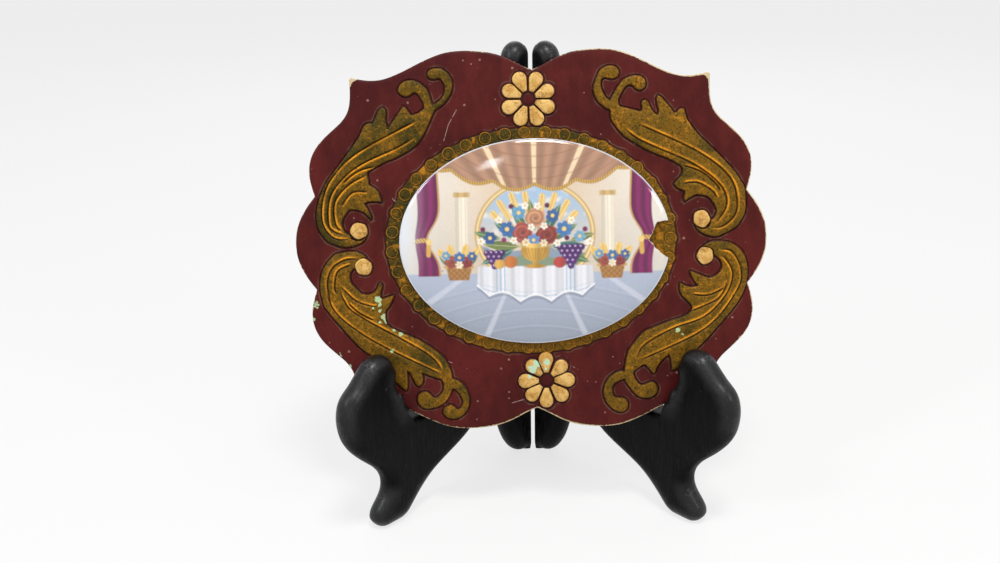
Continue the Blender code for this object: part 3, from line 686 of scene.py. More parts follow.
class Graph:
    """Writes nodes and links into one tree.

    Attributes:
        tree: The node tree.
    """

    def __init__(self, tree: bpy.types.NodeTree) -> None:
        """Keep the tree to write into."""
        self.tree = tree

    def feed(self, node: Any, values: dict[Any, Any]) -> Any:
        """Set or link a node's inputs, by name or place, and return the node."""
        for key, value in values.items():
            if isinstance(value, bpy.types.NodeSocket):
                self.tree.links.new(value, node.inputs[key])
            else:
                node.inputs[key].default_value = value
        return node

    def add(self, kind: str, values: dict[Any, Any] | None = None, **settings: Any) -> Any:
        """Add a node.

        Args:
            kind: The node's type.
            values: Constants or sockets for its inputs, by name or place.
            settings: Properties to set on it first.

        Returns:
            The node's outputs.
        """
        node = self.tree.nodes.new(kind)
        for key, value in settings.items():
            setattr(node, key, value)
        return self.feed(node, values or {}).outputs

    def give(self, **values: Any) -> bpy.types.NodeTree:
        """Make a group's outputs from sockets and return its tree."""
        kinds = {"VALUE": FLOAT, "RGBA": COLOUR, "GEOMETRY": GEOMETRY}
        for label, value in values.items():
            self.tree.interface.new_socket(name=label, in_out="OUTPUT", socket_type=kinds[value.type])
        self.feed(self.tree.nodes.new("NodeGroupOutput"), values)
        return self.tree

    def math(self, operation: str, first: Any, second: Any = 0.0, clamp: bool = False) -> Any:
        """Return the result of a sum on two values."""
        return self.add("ShaderNodeMath", {0: first, 1: second}, operation=operation, use_clamp=clamp)[0]

    def times(self, first: Any, second: Any, clamp: bool = False) -> Any:
        """Return a product."""
        return self.math("MULTIPLY", first, second, clamp)

    def plus(self, first: Any, *others: Any) -> Any:
        """Return values added up in their order."""
        for other in others:
            first = self.math("ADD", first, other)
        return first

    def vectors(self, operation: str, values: dict[Any, Any], output: str = "Vector") -> Any:
        """Return a result of a sum on vectors."""
        return self.add("ShaderNodeVectorMath", values, operation=operation)[output]

    def rise(self, value: Any, low: float, high: float) -> Any:
        """Return a smooth rise from 0 at low to 1 at high."""
        return self.add("ShaderNodeMapRange", {0: value, 1: low, 2: high},
                        interpolation_type="SMOOTHSTEP")[0]

    def spread(self, value: Any, low: float, high: float) -> Any:
        """Return a 0 to 1 value spread between two numbers."""
        return self.add("ShaderNodeMapRange", {0: value, 3: low, 4: high})[0]

    def mix(self, share: Any, first: Any, second: Any) -> Any:
        """Return a mix of two colours."""
        first, second = [(*c, 1.0) if isinstance(c, tuple) else c for c in (first, second)]
        return self.add("ShaderNodeMix", {0: share, 6: first, 7: second}, data_type="RGBA")[2]

    def noise(self, vector: Any, scale: Any, detail: float = 3.0, rough: float = 0.6) -> Any:
        """Return cloudy noise around 0.5."""
        return self.add("ShaderNodeTexNoise", {"Vector": vector, "Scale": scale, "Detail": detail,
                                               "Roughness": rough})[0]

    def vector(self, x: Any = 0.0, y: Any = 0.0, z: Any = 0.0) -> Any:
        """Return a vector of three values."""
        return self.add("ShaderNodeCombineXYZ", {0: x, 1: y, 2: z})[0]

    def random(self, low: Any, high: Any, seed: Any) -> Any:
        """Return a random number or vector for each point."""
        if isinstance(low, tuple):
            return self.add("FunctionNodeRandomValue", {0: low, 1: high, "Seed": seed},
                            data_type="FLOAT_VECTOR")[0]
        return self.add("FunctionNodeRandomValue", {2: low, 3: high, "Seed": seed},
                        data_type="FLOAT")[1]

    def seen(self) -> Any:
        """Return 1 for rays that show a background: from the camera, gloss or glass."""
        path = self.add("ShaderNodeLightPath")
        shown = self.math("MAXIMUM", path["Is Camera Ray"], path["Is Glossy Ray"])
        return self.math("MAXIMUM", shown, path["Is Transmission Ray"])


def new_group(name: str, inputs: dict[str, str], kind: str = "ShaderNodeTree") -> tuple[Graph, Any]:
    """Start a node group with named inputs.

    Args:
        name: The group's name.
        inputs: Socket type by name.
        kind: Type of the tree.

    Returns:
        The graph and its inputs' sockets.
    """
    graph = Graph(bpy.data.node_groups.new(name, kind))
    for label, socket in inputs.items():
        graph.tree.interface.new_socket(name=label, in_out="INPUT", socket_type=socket)
    return graph, graph.add("NodeGroupInput")


# Shader groups that more than one finish uses


def edge_wear() -> bpy.types.NodeTree:
    """Return the group that breaks a wear mask up into worn patches."""
    graph, given = new_group("edge_wear", {"Place": VECTOR, "Mask": FLOAT, "Scale": FLOAT, "Amount": FLOAT})
    rough = graph.noise(given["Place"], given["Scale"], 5.0, 0.65)
    return graph.give(Wear=graph.rise(graph.plus(given["Mask"], rough, given["Amount"]), 1.0, 1.12))


def wood_grain() -> bpy.types.NodeTree:
    """Return the group that draws wood grain as a height and a tone."""
    graph, given = new_group("wood_grain", {"Place": VECTOR, "Scale": FLOAT})
    fibre = graph.noise(given["Place"], given["Scale"], 6.0, 0.7)
    pores = graph.noise(given["Place"], graph.times(given["Scale"], 3.7), 2.0, 0.5)
    height = graph.times(fibre, graph.rise(pores, 0.62, 0.5))
    return graph.give(Height=height, Tone=graph.rise(fibre, 0.35, 0.68))


def specks() -> bpy.types.NodeTree:
    """Return the group that scatters small spots."""
    graph, given = new_group("specks", {"Place": VECTOR, "Scale": FLOAT, "Size": FLOAT})
    cells = graph.add("ShaderNodeTexVoronoi", {"Vector": given["Place"], "Scale": given["Scale"]})
    chance = graph.math("POWER", graph.add("ShaderNodeSeparateColor", {0: cells["Color"]})[0], 3.0)
    size = graph.times(given["Size"], chance)
    return graph.give(Spots=graph.math("LESS_THAN", cells["Distance"], size))


def gilding() -> bpy.types.NodeTree:
    """Return the group that rubs three golds into each other, with painted highlights on ridges, painted
    glints and painted shade in hollows.
    """
    graph, given = new_group("gilding", {"Place": VECTOR, "Dark": COLOUR, "Gold": COLOUR, "Bright": COLOUR,
                                         "Ridge": FLOAT, "Cavity": FLOAT, "Warmth": FLOAT})
    broad = graph.noise(given["Place"], 90.0)
    fine = graph.noise(given["Place"], 640.0, 4.0, 0.75)
    grit = graph.noise(given["Place"], 1300.0, 3.0, 0.7)
    level = graph.plus(broad, graph.times(given["Warmth"], 0.35), graph.times(fine, 0.45))
    base = graph.mix(graph.rise(level, 0.62, 0.95), given["Dark"], given["Gold"])
    rubbed = graph.rise(graph.plus(graph.times(fine, 0.7), graph.times(broad, 0.55)), 0.66, 0.78)
    rubbed = graph.times(rubbed, graph.spread(given["Warmth"], 0.12, 0.42))
    # Painted highlight on the scrolls' and rings' ridges, from the stored ridge mask; on the band that mask
    # gives random bright flecks.
    ridge = graph.times(given["Ridge"], graph.rise(fine, 0.25, 0.45))
    colour = graph.mix(graph.math("MAXIMUM", rubbed, ridge, clamp=True), base, given["Bright"])
    # Painted glints: bright specks of the rubbed tone on the grit.
    glint = graph.times(graph.rise(grit, 0.60, 0.68), graph.rise(fine, 0.45, 0.6))
    colour = graph.mix(graph.times(glint, 0.55), colour, given["Bright"])
    stipple = graph.times(graph.rise(grit, 0.48, 0.38), 0.66)
    hollow = graph.times(stipple, graph.math("SUBTRACT", 1.0, graph.times(ridge, 0.7)))
    # Painted shade: the stored Cavity mask darkens hollows, joined with the dark grit specks.
    colour = graph.mix(graph.math("MAXIMUM", given["Cavity"], hollow), colour, (0.010, 0.0065, 0.0018))
    return graph.give(Color=colour, Grit=graph.times(grit, 0.6))


class Coat(Graph):
    """The graph of one material, laid up colour over colour.

    Attributes:
        material: The material.
        effects: The shared groups, by name.
        place: The piece's own coordinates.
        colour: The colour so far.
    """

    def __init__(self, name: str, effects: Effects) -> None:
        """Start a material."""
        self.material = bpy.data.materials.new(name)
        self.material.use_nodes = True
        super().__init__(self.material.node_tree)
        self.effects = effects
        self.place = self.add("ShaderNodeTexCoord")["Object"]
        self.colour: Any = None

    def cloud(self, scale: float, detail: float = 3.0, rough: float = 0.6) -> Any:
        """Return noise over the piece."""
        return self.noise(self.place, scale, detail, rough)

    def cover(self, mask: Any, colour: Any, share: float | None = None) -> None:
        """Lay a colour over the others where a mask, or a share of it, says so."""
        mask = mask if share is None else self.times(mask, share)
        self.colour = self.mix(mask, self.colour, colour)

    def attribute(self, name: str, output: str = "Fac") -> Any:
        """Return a piece's stored value."""
        return self.add("ShaderNodeAttribute", attribute_name=name)[output]

    def stretch(self, *scale: float) -> Any:
        """Return the coordinates stretched along their axes."""
        return self.add("ShaderNodeMapping", {"Vector": self.place, "Scale": scale})[0]

    def use(self, group: str, **values: Any) -> Any:
        """Place a shared effect and return its outputs."""
        return self.add("ShaderNodeGroup", {"Place": self.place, **values}, node_tree=self.effects[group])

    def dots(self, scale: float, size: float) -> Any:
        """Return the mask of scattered specks."""
        return self.use("specks", Scale=scale, Size=size)[0]

    def worn(self, name: str, scale: float, amount: float) -> Any:
        """Return the broken-up mask of a stored wear value."""
        return self.use("edge_wear", Mask=self.attribute(name), Scale=scale, Amount=amount)[0]

    def grain(self, stretch: Spot, scale: float) -> Any:
        """Return wood grain along an axis."""
        return self.use("wood_grain", Place=self.stretch(*stretch), Scale=scale)

    def scratch(self, start: Vector, end: Vector, width: float) -> Any:
        """Return 1 on a straight fine scratch between two points, all in metres."""
        step = end - start
        off = self.vectors("SUBTRACT", {0: self.place, 1: start})
        dot = self.vectors("DOT_PRODUCT", {0: off, 1: step / step.length_squared}, "Value")
        along = self.vectors("SCALE", {0: step, "Scale": self.times(dot, 1.0, clamp=True)})
        gap = self.vectors("LENGTH", {0: self.vectors("SUBTRACT", {0: off, 1: along})}, "Value")
        return self.rise(gap, width, 0.4 * width)

    def finish(self, rough: Any, height: Any, depth: float, **more: Any) -> bpy.types.Material:
        """Feed the shader and return the material.

        Args:
            rough: The roughness.
            height: The height of the surface's relief, 0 to 1.
            depth: The relief's depth in metres.
            more: Other inputs, with underscores for their spaces.

        Returns:
            The material.
        """
        normal = self.add("ShaderNodeBump", {"Height": height, "Distance": depth, "Strength": 1.0})[0]
        values = {key.replace("_", " "): value for key, value in more.items()}
        self.feed(self.tree.nodes["Principled BSDF"], {"Base Color": self.colour, "Roughness": rough,
                                                       "Normal": normal, **values})
        return self.material


# Finishes


VERDIGRIS = (0.42, 0.55, 0.30)
# Fine pale scratches on the board's front: start, end and half width, in millimetres
SCRATCHES = (((-28.6, 49.2), (-31.8, 43.6), 0.13), ((-31.8, 43.6), (-33.6, 37.6), 0.12),
             ((-30.8, 34.6), (-29.6, 31.6), 0.42), ((-53.4, 16.4), (-51.8, 14.8), 0.22),
             ((12.0, -47.6), (15.6, -49.4), 0.14), ((-34.8, -45.0), (-32.0, -46.2), 0.13),
             ((-10.0, -62.0), (-4.5, -60.4), 0.12))


@dataclass(frozen=True)
class MaroonPaint:
    """Old maroon paint over gesso on wood, with a stained back.

    Attributes:
        deep: The paint's darker tone.
        warm: The paint's lighter tone.
        gesso: The cream ground that shows where it is worn.
        rim: The pale olive painted highlight along the lip round the pressed grooves.
        stain: The stained wood of the back.
    """

    deep: Colour = (0.052, 0.0040, 0.0036)
    warm: Colour = (0.094, 0.0100, 0.0082)
    gesso: Colour = (0.60, 0.47, 0.27)
    rim: Colour = (0.150, 0.095, 0.062)
    stain: Colour = (0.16, 0.075, 0.032)

    def build(self, effects: Effects) -> bpy.types.Material:
        """Return the material."""
        coat = Coat("aged_maroon_paint", effects)
        streak = coat.noise(coat.stretch(1.0, 1.0, 0.35), 240.0)
        tone = coat.plus(coat.times(coat.cloud(28.0, 4.0), 0.75), coat.times(streak, 0.35))
        coat.colour = coat.mix(coat.rise(tone, 0.40, 0.68), self.deep, self.warm)
        coat.cover(coat.dots(330.0, 0.17), (0.42, 0.24, 0.20), 0.5)
        coat.cover(coat.dots(900.0, 0.30), (0.012, 0.003, 0.003), 0.6)
        # Painted highlight: a pale olive line on the lip outside each pressed groove, broken up by streaks.
        coat.cover(coat.times(coat.attribute("lip"), coat.rise(streak, 0.40, 0.62)), self.rim)
        # Painted shade, with some dark patina: the pressed grooves round the ornament darkened.
        broken = coat.spread(coat.cloud(420.0), 0.25, 1.35)
        coat.cover(coat.times(coat.attribute("cavity"), broken, clamp=True), (0.009, 0.0035, 0.0026))
        wear = coat.worn("wear", 900.0, -0.12)
        coat.cover(wear, self.gesso)
        chip = coat.worn("chip", 1500.0, -0.1)
        coat.cover(chip, VERDIGRIS)
        crumble = coat.rise(coat.cloud(900.0, 2.0, 0.5), 0.40, 0.50)
        front = board_plane().matrix()
        for start, end, width in SCRATCHES:
            ends = [front @ Vector((x * MM, y * MM, BOARD_THICKNESS * MM)) for x, y in (start, end)]
            coat.cover(coat.times(coat.scratch(*ends, width * MM), crumble), (0.42, 0.30, 0.26))
        wood = coat.grain((0.07, 1.0, 1.0), 420.0)
        behind = coat.attribute("behind")
        coat.cover(behind, coat.mix(wood["Tone"], tuple(0.5 * c for c in self.stain), self.stain))
        bare = coat.times(coat.math("MAXIMUM", wear, behind), 0.35)
        rough = coat.math("ADD", coat.spread(coat.cloud(120.0, 4.0), 0.30, 0.50), bare, clamp=True)
        height = coat.plus(coat.cloud(850.0, 4.0), coat.times(coat.times(wood["Height"], behind), 1.5))
        height = coat.math("SUBTRACT", height, coat.times(coat.math("MAXIMUM", wear, chip), 0.8))
        return coat.finish(rough, height, 0.00006, Specular_IOR_Level=0.14)


@dataclass(frozen=True)
class AntiqueGilt:
    """Bronze gilding gone olive, rubbed to orange-gold in patches, with painted highlights on its ridges and
    painted shade in its hollows.

    Attributes:
        dark: The olive tone.
        gold: The brown gold tone.
        bright: The rubbed tone, also the painted highlight of ridges and glints.
        warmth: How far the whole is rubbed to orange-gold.
        metallic: Share of metal.
    """

    dark: Colour = (0.050, 0.038, 0.0036)
    gold: Colour = (0.165, 0.083, 0.0052)
    bright: Colour = (0.74, 0.29, 0.014)
    warmth: float = 0.35
    metallic: float = 0.35

    def build(self, effects: Effects) -> bpy.types.Material:
        """Return the material."""
        coat = Coat("olive_gilding", effects)
        # Painted light: Ridge lays painted highlight along the ridges, Cavity lays painted shade in grooves
        # and at feet.
        golds = coat.use("gilding", Dark=(*self.dark, 1.0), Gold=(*self.gold, 1.0),
                         Bright=(*self.bright, 1.0), Ridge=coat.attribute("ridge"),
                         Cavity=coat.attribute("cavity"),
                         Warmth=coat.plus(coat.attribute("warmth"), self.warmth))
        chip = coat.worn("chip", 1300.0, -0.05)
        coat.colour = coat.mix(chip, golds["Color"], VERDIGRIS)
        rough = coat.spread(coat.cloud(500.0), 0.30, 0.56)
        height = coat.math("SUBTRACT", golds["Grit"], coat.times(chip, 0.7))
        return coat.finish(rough, height, 0.00016, Specular_IOR_Level=0.15,
                           Metallic=coat.math("SUBTRACT", self.metallic, chip, clamp=True))


@dataclass(frozen=True)
class PaleGilt:
    """Pale gold leaf on the flowers and dots.

    Attributes:
        pale: The leaf's lighter tone.
        deep: The leaf's darker tone.
    """

    pale: Colour = (0.70, 0.44, 0.145)
    deep: Colour = (0.52, 0.275, 0.060)

    def build(self, effects: Effects) -> bpy.types.Material:
        """Return the material."""
        coat = Coat("pale_gold_leaf", effects)
        coat.colour = coat.mix(coat.rise(coat.cloud(260.0, 4.0, 0.65), 0.36, 0.62), self.deep, self.pale)
        coat.cover(coat.dots(760.0, 0.3), (0.33, 0.15, 0.04), 0.5)
        off = coat.math("ABSOLUTE", coat.math("SUBTRACT", coat.cloud(230.0, 4.0, 0.5), 0.5))
        coat.cover(coat.rise(off, 0.020, 0.006), (0.20, 0.085, 0.018), 0.55)
        # Painted shade: the low sides of petals and dots, and the gaps between them, darkened.
        coat.cover(coat.attribute("cavity"), (0.03, 0.012, 0.005))
        chip = coat.worn("chip", 1200.0, -0.05)
        coat.cover(chip, (0.47, 0.66, 0.46))
        rough = coat.spread(coat.cloud(700.0, 2.0, 0.5), 0.34, 0.52)
        return coat.finish(rough, coat.cloud(900.0, 4.0, 0.7), 0.00012, Specular_IOR_Level=0.2,
                           Metallic=coat.math("SUBTRACT", 0.2, chip, clamp=True))


@dataclass(frozen=True)
class GlazedPorcelain:
    """White glazed porcelain with a fired print and a bare broken edge.

    Attributes:
        gloss: Roughness of the glaze.
        body: The unglazed body.
        glue: Old brown glue on the broken edge.
    """

    gloss: float = 0.055
    body: Colour = (0.70, 0.64, 0.55)
    glue: Colour = (0.34, 0.22, 0.10)

    def build(self, effects: Effects) -> bpy.types.Material:
        """Return the material."""
        coat = Coat("printed_glazed_porcelain", effects)
        bare = coat.attribute("bare")
        broken = coat.mix(coat.rise(coat.cloud(420.0, 4.0), 0.48, 0.62), self.body, self.glue)
        coat.colour = coat.mix(bare, coat.attribute("print", "Color"), broken)
        coat.cover(coat.dots(210.0, 0.10), (0.25, 0.18, 0.12), 0.5)
        glaze = coat.spread(coat.cloud(160.0, 3.0, 0.5), self.gloss, self.gloss * 1.8)
        chips = coat.times(coat.cloud(900.0, 5.0, 0.7), bare)
        height = coat.plus(coat.times(coat.cloud(120.0, 1.0, 0.4), 0.10), chips)
        return coat.finish(coat.plus(coat.times(bare, 0.7), glaze), height, 0.00016,
                           Specular_IOR_Level=0.6)


@dataclass(frozen=True)
class OldGlue:
    """The brown adhesive under the porcelain."""

    amber: Colour = (0.30, 0.21, 0.09)

    def build(self, effects: Effects) -> bpy.types.Material:
        """Return the material."""
        coat = Coat("old_glue", effects)
        cloud = coat.cloud(300.0)
        coat.colour = coat.mix(cloud, tuple(0.55 * c for c in self.amber), self.amber)
        return coat.finish(coat.spread(cloud, 0.35, 0.6), cloud, 0.0001)


@dataclass(frozen=True)
class BlackLacquer:
    """Black satin lacquer on sawn wood.

    Attributes:
        black: The lacquer.
        grey: The dusty tone on its grain.
        dust_and_sheen: The pale blue-grey painted sheen of its rounded edges and the board's rest, partly
            dust.
        wood: The wood that shows through at rubbed edges.
    """

    black: Colour = (0.0008, 0.0008, 0.0011)
    grey: Colour = (0.0034, 0.0034, 0.0044)
    dust_and_sheen: Colour = (0.120, 0.125, 0.150)
    wood: Colour = (0.085, 0.045, 0.022)

    def build(self, effects: Effects) -> bpy.types.Material:
        """Return the material."""
        coat = Coat("black_satin_lacquer", effects)
        grain = coat.grain((1.0, 1.0, 0.06), 520.0)
        coat.colour = coat.mix(grain["Tone"], self.black, self.grey)
        coat.cover(coat.dots(330.0, 0.16), (0.12, 0.115, 0.12), 0.2)
        # Painted sheen, partly dust: pale blue-grey over the marked rounded edges, where a highlight would
        # fall.
        coat.cover(coat.worn("wear", 1100.0, 0.02), self.dust_and_sheen, 0.45)
        coat.cover(coat.worn("wear", 700.0, -0.22), self.wood)
        rough = coat.spread(coat.noise(coat.stretch(1.0, 1.0, 0.2), 260.0, 4.0), 0.34, 0.48)
        height = coat.plus(grain["Height"], coat.times(coat.cloud(90.0, 2.0, 0.5), 1.6))
        cloud = coat.spread(coat.cloud(210.0, 4.0), 0.25, 1.25)
        fine = coat.spread(coat.cloud(1700.0, 2.0), 0.2, 1.3)
        polish = coat.times(coat.times(cloud, fine), coat.attribute("polish"), clamp=True)
        return coat.finish(rough, height, 0.00016, Specular_IOR_Level=0.075, Coat_Weight=polish,
                           Coat_Roughness=0.36, Coat_IOR=1.5)


@dataclass(frozen=True)
class AgedMetal:
    """Small metal fittings with tarnish.

    Attributes:
        name: Name of the material.
        clean: The metal's own colour.
        tarnish: Its tarnished colour.
        polish: Roughness where it is clean.
    """

    name: str
    clean: Colour
    tarnish: Colour
    polish: float

    def build(self, effects: Effects) -> bpy.types.Material:
        """Return the material."""
        coat = Coat(self.name, effects)
        patch = coat.rise(coat.cloud(380.0, 5.0, 0.65), 0.42, 0.60)
        coat.colour = coat.mix(patch, self.clean, self.tarnish)
        coat.cover(coat.dots(900.0, 0.3), (0.05, 0.035, 0.02), 0.6)
        fine = coat.noise(coat.stretch(1.0, 1.0, 0.05), 2600.0, 2.0, 0.5)
        rough = coat.plus(coat.spread(patch, self.polish, self.polish + 0.25), coat.times(fine, 0.12))
        return coat.finish(rough, fine, 0.00002, Metallic=1.0)


class Finishes:
    """Every finish of the object, built once.

    Attributes:
        paint: Maroon paint.
        gilt: Olive gilding of the scrolls and the oval band.
        pale: Pale leaf of the flowers and dots.
        porcelain: The printed oval.
        lacquer: The easel.
        brass: Leaves, strap, brads and ring.
        steel: Pins and screws.
        glue: The adhesive.
    """

    def __init__(self) -> None:
        """Build all materials."""
        effects = {make.__name__: make() for make in (edge_wear, wood_grain, specks, gilding)}
        self.paint = MaroonPaint().build(effects)
        self.gilt = AntiqueGilt().build(effects)
        self.pale = PaleGilt().build(effects)
        self.porcelain = GlazedPorcelain().build(effects)
        self.lacquer = BlackLacquer().build(effects)
        self.brass = AgedMetal("aged_brass", (0.66, 0.44, 0.16), (0.26, 0.15, 0.05), 0.28).build(effects)
        self.steel = AgedMetal("dull_steel", (0.46, 0.45, 0.43), (0.22, 0.17, 0.13), 0.30).build(effects)
        self.glue = OldGlue().build(effects)

    def dress_nodes(self) -> None:
        """Give the CAD nodes that stay in view their materials."""
        kinds = {"leaf": self.brass, "hanger": self.brass, "pin": self.steel, "adhesive": self.glue}
        for name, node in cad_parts.items():
            if not node.hide_render:
                material = next(found for key, found in kinds.items() if key in name)
                dress(node, material)
                LOG.info("%s: CAD node in %s", name, material.name)


# The plaque


@dataclass
class Ornament:
    """One raised motif's outline on the board.

    Attributes:
        name: The CAD node it comes from.
        loop: Its outline.
        groove: Depth of the pressed line around it.
    """

    name: str
    loop: Array
    groove: float = 0.30


@dataclass
class Board:
    """The sawn board with its painted front.

    Attributes:
        plane: The plane of its back.
        ornaments: The motifs whose outlines are pressed into it.
        thickness: From the back to the front.
        round_over: Radius of the front edge.
        back_round: Radius of the back edge.
        spacing: Distance between points on the open front.
        rings: Distances of the fine rings around a motif.
    """

    plane: PlaneFrame
    ornaments: list[Ornament]
    thickness: float = BOARD_THICKNESS
    round_over: float = 0.75
    back_round: float = 0.6
    spacing: float = 1.5
    rings: tuple[float, ...] = (0.12, 0.32, 0.55, 0.85, 1.2, 1.7)

    def __post_init__(self) -> None:
        """Read the outline from the frame."""
        self.loop = smooth_loop(section("plaque_board", self.plane, self.thickness - 1.4), 24.0, 0.7)

    def groove_distance(self, points: Array) -> tuple[Array, Array]:
        """Return each point's distance outside the nearest motif, and its groove depth."""
        best = np.full(len(points), 3.0)
        depth = np.zeros(len(points))
        for ornament in self.ornaments:
            gap = edge_distance(points, ornament.loop, 3.0)
            gap = np.where(inside(points, ornament.loop), -gap, gap)
            nearer = gap < best
            best[nearer] = gap[nearer]
            depth[nearer] = ornament.groove
        return best, depth

    def front_level(self, points: Array) -> Array:
        """Return the painted front's heights."""
        level = self.thickness - round_off(edge_distance(points, self.loop), self.round_over)
        level += 0.05 * waver(points, 9.0, 3) + 0.03 * waver(points, 2.2, 4)
        away, depth = self.groove_distance(points)
        return level - depth * bell(away, 0.26, 0.24) + 0.07 * bell(away, 0.78, 0.22) * (depth > 0)

    def back_level(self, points: Array) -> Array:
        """Return the back's heights."""
        return round_off(edge_distance(points, self.loop), self.back_round)

    def fine_points(self) -> Array:
        """Return the points inside the outline that carry the front's detail."""
        sets = [hex_points(self.loop, self.spacing, 1.2)]
        for ornament in self.ornaments:
            sets += [ornament.loop, *[inset(ornament.loop, -ring) for ring in self.rings]]
        edge = [inset(self.loop, depth) for depth in (0.10, 0.25, 0.45, 0.75)]
        return np.vstack([thin_out(well_inside(np.vstack(sets), self.loop, 0.9), 0.28), *edge])

    def build(self, material: bpy.types.Material) -> None:
        """Make the board, its wear, and the painted shade and highlight of its pressed grooves."""
        back_points = np.vstack([inset(self.loop, 0.3), inset(self.loop, self.back_round),
                                 hex_points(self.loop, 6.0, 3.0)])
        shell = closed_shell(self.loop, self.fine_points(), back_points, self.front_level,
                             self.back_level, rows=5)
        thing = shell.make("painted_board", self.plane, 50.0)
        flat, height = shell.points[:, :2], shell.points[:, 2]
        away, depth = self.groove_distance(flat)
        front = shell.on(Zone.FACE)
        pressed = (depth > 0) * front
        patch = blotches(flat, 5.0, 11)
        handled = np.maximum(ramp(flat @ (0.8, 0.6), 30.0, 70.0), ramp(flat[:, 1], -48.0, -60.0))
        arris = ramp(edge_distance(flat, self.loop), 1.2, 0.15) * ramp(height, 3.4, 5.2)
        wear = arris * (0.42 + 0.34 * patch + 0.26 * handled) + self.corner_nearness(flat)
        rubbed = 0.30 * ramp(height, 0.0, BOARD_THICKNESS) + 0.28 * patch + 0.22 * handled
        wear = np.where(shell.on(Zone.WALL), rubbed, wear)
        flaked = spots(flat, ((-82.8, -23.4, 2.2), (-84.0, -28.6, 1.5), (-74.0, -42.2, 1.5),
                              (-70.6, -46.6, 1.3), (-78.0, -37.6, 1.2), (-66.4, -52.4, 1.2),
                              (-83.4, -19.0, 1.1), (66.0, -59.8, 1.2)), 0.0, 0.3, (1.0, 0.75))
        # cavity is painted shade in the pressed grooves, with some dark patina; lip is a painted highlight on
        # each groove's outer lip.
        mark(thing, wear=np.where(front | (height > 0.3), wear, 0.2),
             cavity=bell(away, 0.24, 0.24) * pressed * (0.55 + depth),
             lip=bell(away, 0.80, 0.20) * pressed * 0.7,
             chip=flaked * 0.75 * front, behind=shell.on(Zone.BACK))
        finish_piece(thing, Body.PLAQUE, Slot.MAROON, material, "plaque_board")

    def corner_nearness(self, points: Array) -> Array:
        """Return 1 at the four bare corner tips, falling to 0 within 3 mm."""
        worn = np.zeros(len(points))
        for across, up in ((-1, 1), (1, 1), (-1, -1), (1, -1)):
            tip = self.loop[(self.loop @ (across * 0.9, up)).argmax()]
            worn = np.maximum(worn, ramp(distance(points, tip), 3.4, 0.6))
        return worn


@dataclass
class Scroll:
    """One gilt acanthus scroll.

    Attributes:
        name: The CAD node it stands for.
        plane: The plane of the board's back.
        leaf: Its outline on the board.
        lines: Its carved lines.
        warmth: How far it is rubbed to orange-gold.
        chips: Places and radii of flaked spots.
        base: Level of its foot, a little inside the board.
        relief: Level of its face.
        edge: Radius of its upper edge.
    """

    name: str
    plane: PlaneFrame
    leaf: Sequence[Point]
    lines: Sequence[Sequence[Point]]
    warmth: float
    chips: Sequence[Spot] = ()
    base: float = 5.7
    relief: float = 7.0
    edge: float = 0.55

    def __post_init__(self) -> None:
        """Smooth the drawn outline and its carved lines."""
        self.loop = smooth_loop(counterclockwise(np.array(self.leaf)), 66.0, 0.5)
        self.veins = [smooth_line(np.array(line), 0.45) for line in self.lines]

    def vein_marks(self, points: Array) -> tuple[Array, Array]:
        """Return how deep each point lies in a vein and how high on the ridge beside it."""
        groove = np.zeros(len(points))
        ridge = np.zeros(len(points))
        for vein in self.veins:
            lie = nearness(points, vein, 3.0)
            fade = ramp(lie.along, 0.0, 0.08) * ramp(lie.along, 1.0, 0.93)
            groove = np.maximum(groove, bell(lie.gap, 0.0, 0.30) * fade)
            ridge = np.maximum(ridge, bell(lie.side, 0.62, 0.30) * fade)
        return groove, ridge * (1 - groove)

    def face_level(self, points: Array) -> Array:
        """Return the carved face's heights."""
        gap = edge_distance(points, self.loop)
        groove, ridge = self.vein_marks(points)
        level = self.relief - round_off(gap, self.edge) + 0.26 * ramp(gap, 0.2, 3.6)
        return level + (-0.42 * groove + 0.20 * ridge) + 0.07 * waver(points, 0.8, 7) * ramp(gap, 0.0, 0.6)

    def build(self, material: bpy.types.Material) -> None:
        """Make the scroll with its painted highlights, its painted shade and its flaked spots."""
        sets = [hex_points(self.loop, 0.62, 0.55)]
        for vein in self.veins:
            tangent = np.gradient(vein, axis=0)
            tangent /= distance(tangent)[:, None]
            normal = np.column_stack([-tangent[:, 1], tangent[:, 0]])
            sets += [vein + normal * shift for shift in (-0.5, -0.22, 0.0, 0.22, 0.5, 0.8)]
        points = thin_out(well_inside(np.vstack(sets), self.loop, 0.45), 0.2)
        extra = np.vstack([points, *[inset(self.loop, depth) for depth in (0.08, 0.2, 0.36)]])
        shell = closed_shell(self.loop, extra, hex_points(self.loop, 4.0, 1.5), self.face_level,
                             self.base, rows=3)
        thing = shell.make("gilt_" + self.name, self.plane)
        flat, front = shell.points[:, :2], shell.on(Zone.FACE)
        groove, ridge = self.vein_marks(flat)
        # Painted shade along the scroll's outline, where it meets the board.
        foot = 0.5 * ramp(edge_distance(flat, self.loop), 0.22, 0.0)
        lively = 0.60 + 0.70 * ramp(blotches(flat, 6.0, 5), 0.25, 0.7)
        chip = spots(flat, self.chips, 0.9 * waver(flat, 0.9, 17), 0.55)
        # cavity: painted shade in the veins, at the foot and on the sides; ridge: painted highlight along the
        # ridge beside each vein.
        mark(thing, cavity=np.where(front, np.maximum(groove * 0.95, foot), 0.8),
             ridge=ridge * front * lively, chip=chip * front,
             warmth=self.warmth + 0.5 * waver(flat, 9.0, 6))
        finish_piece(thing, Body.PLAQUE, Slot.GILT, material, self.name)


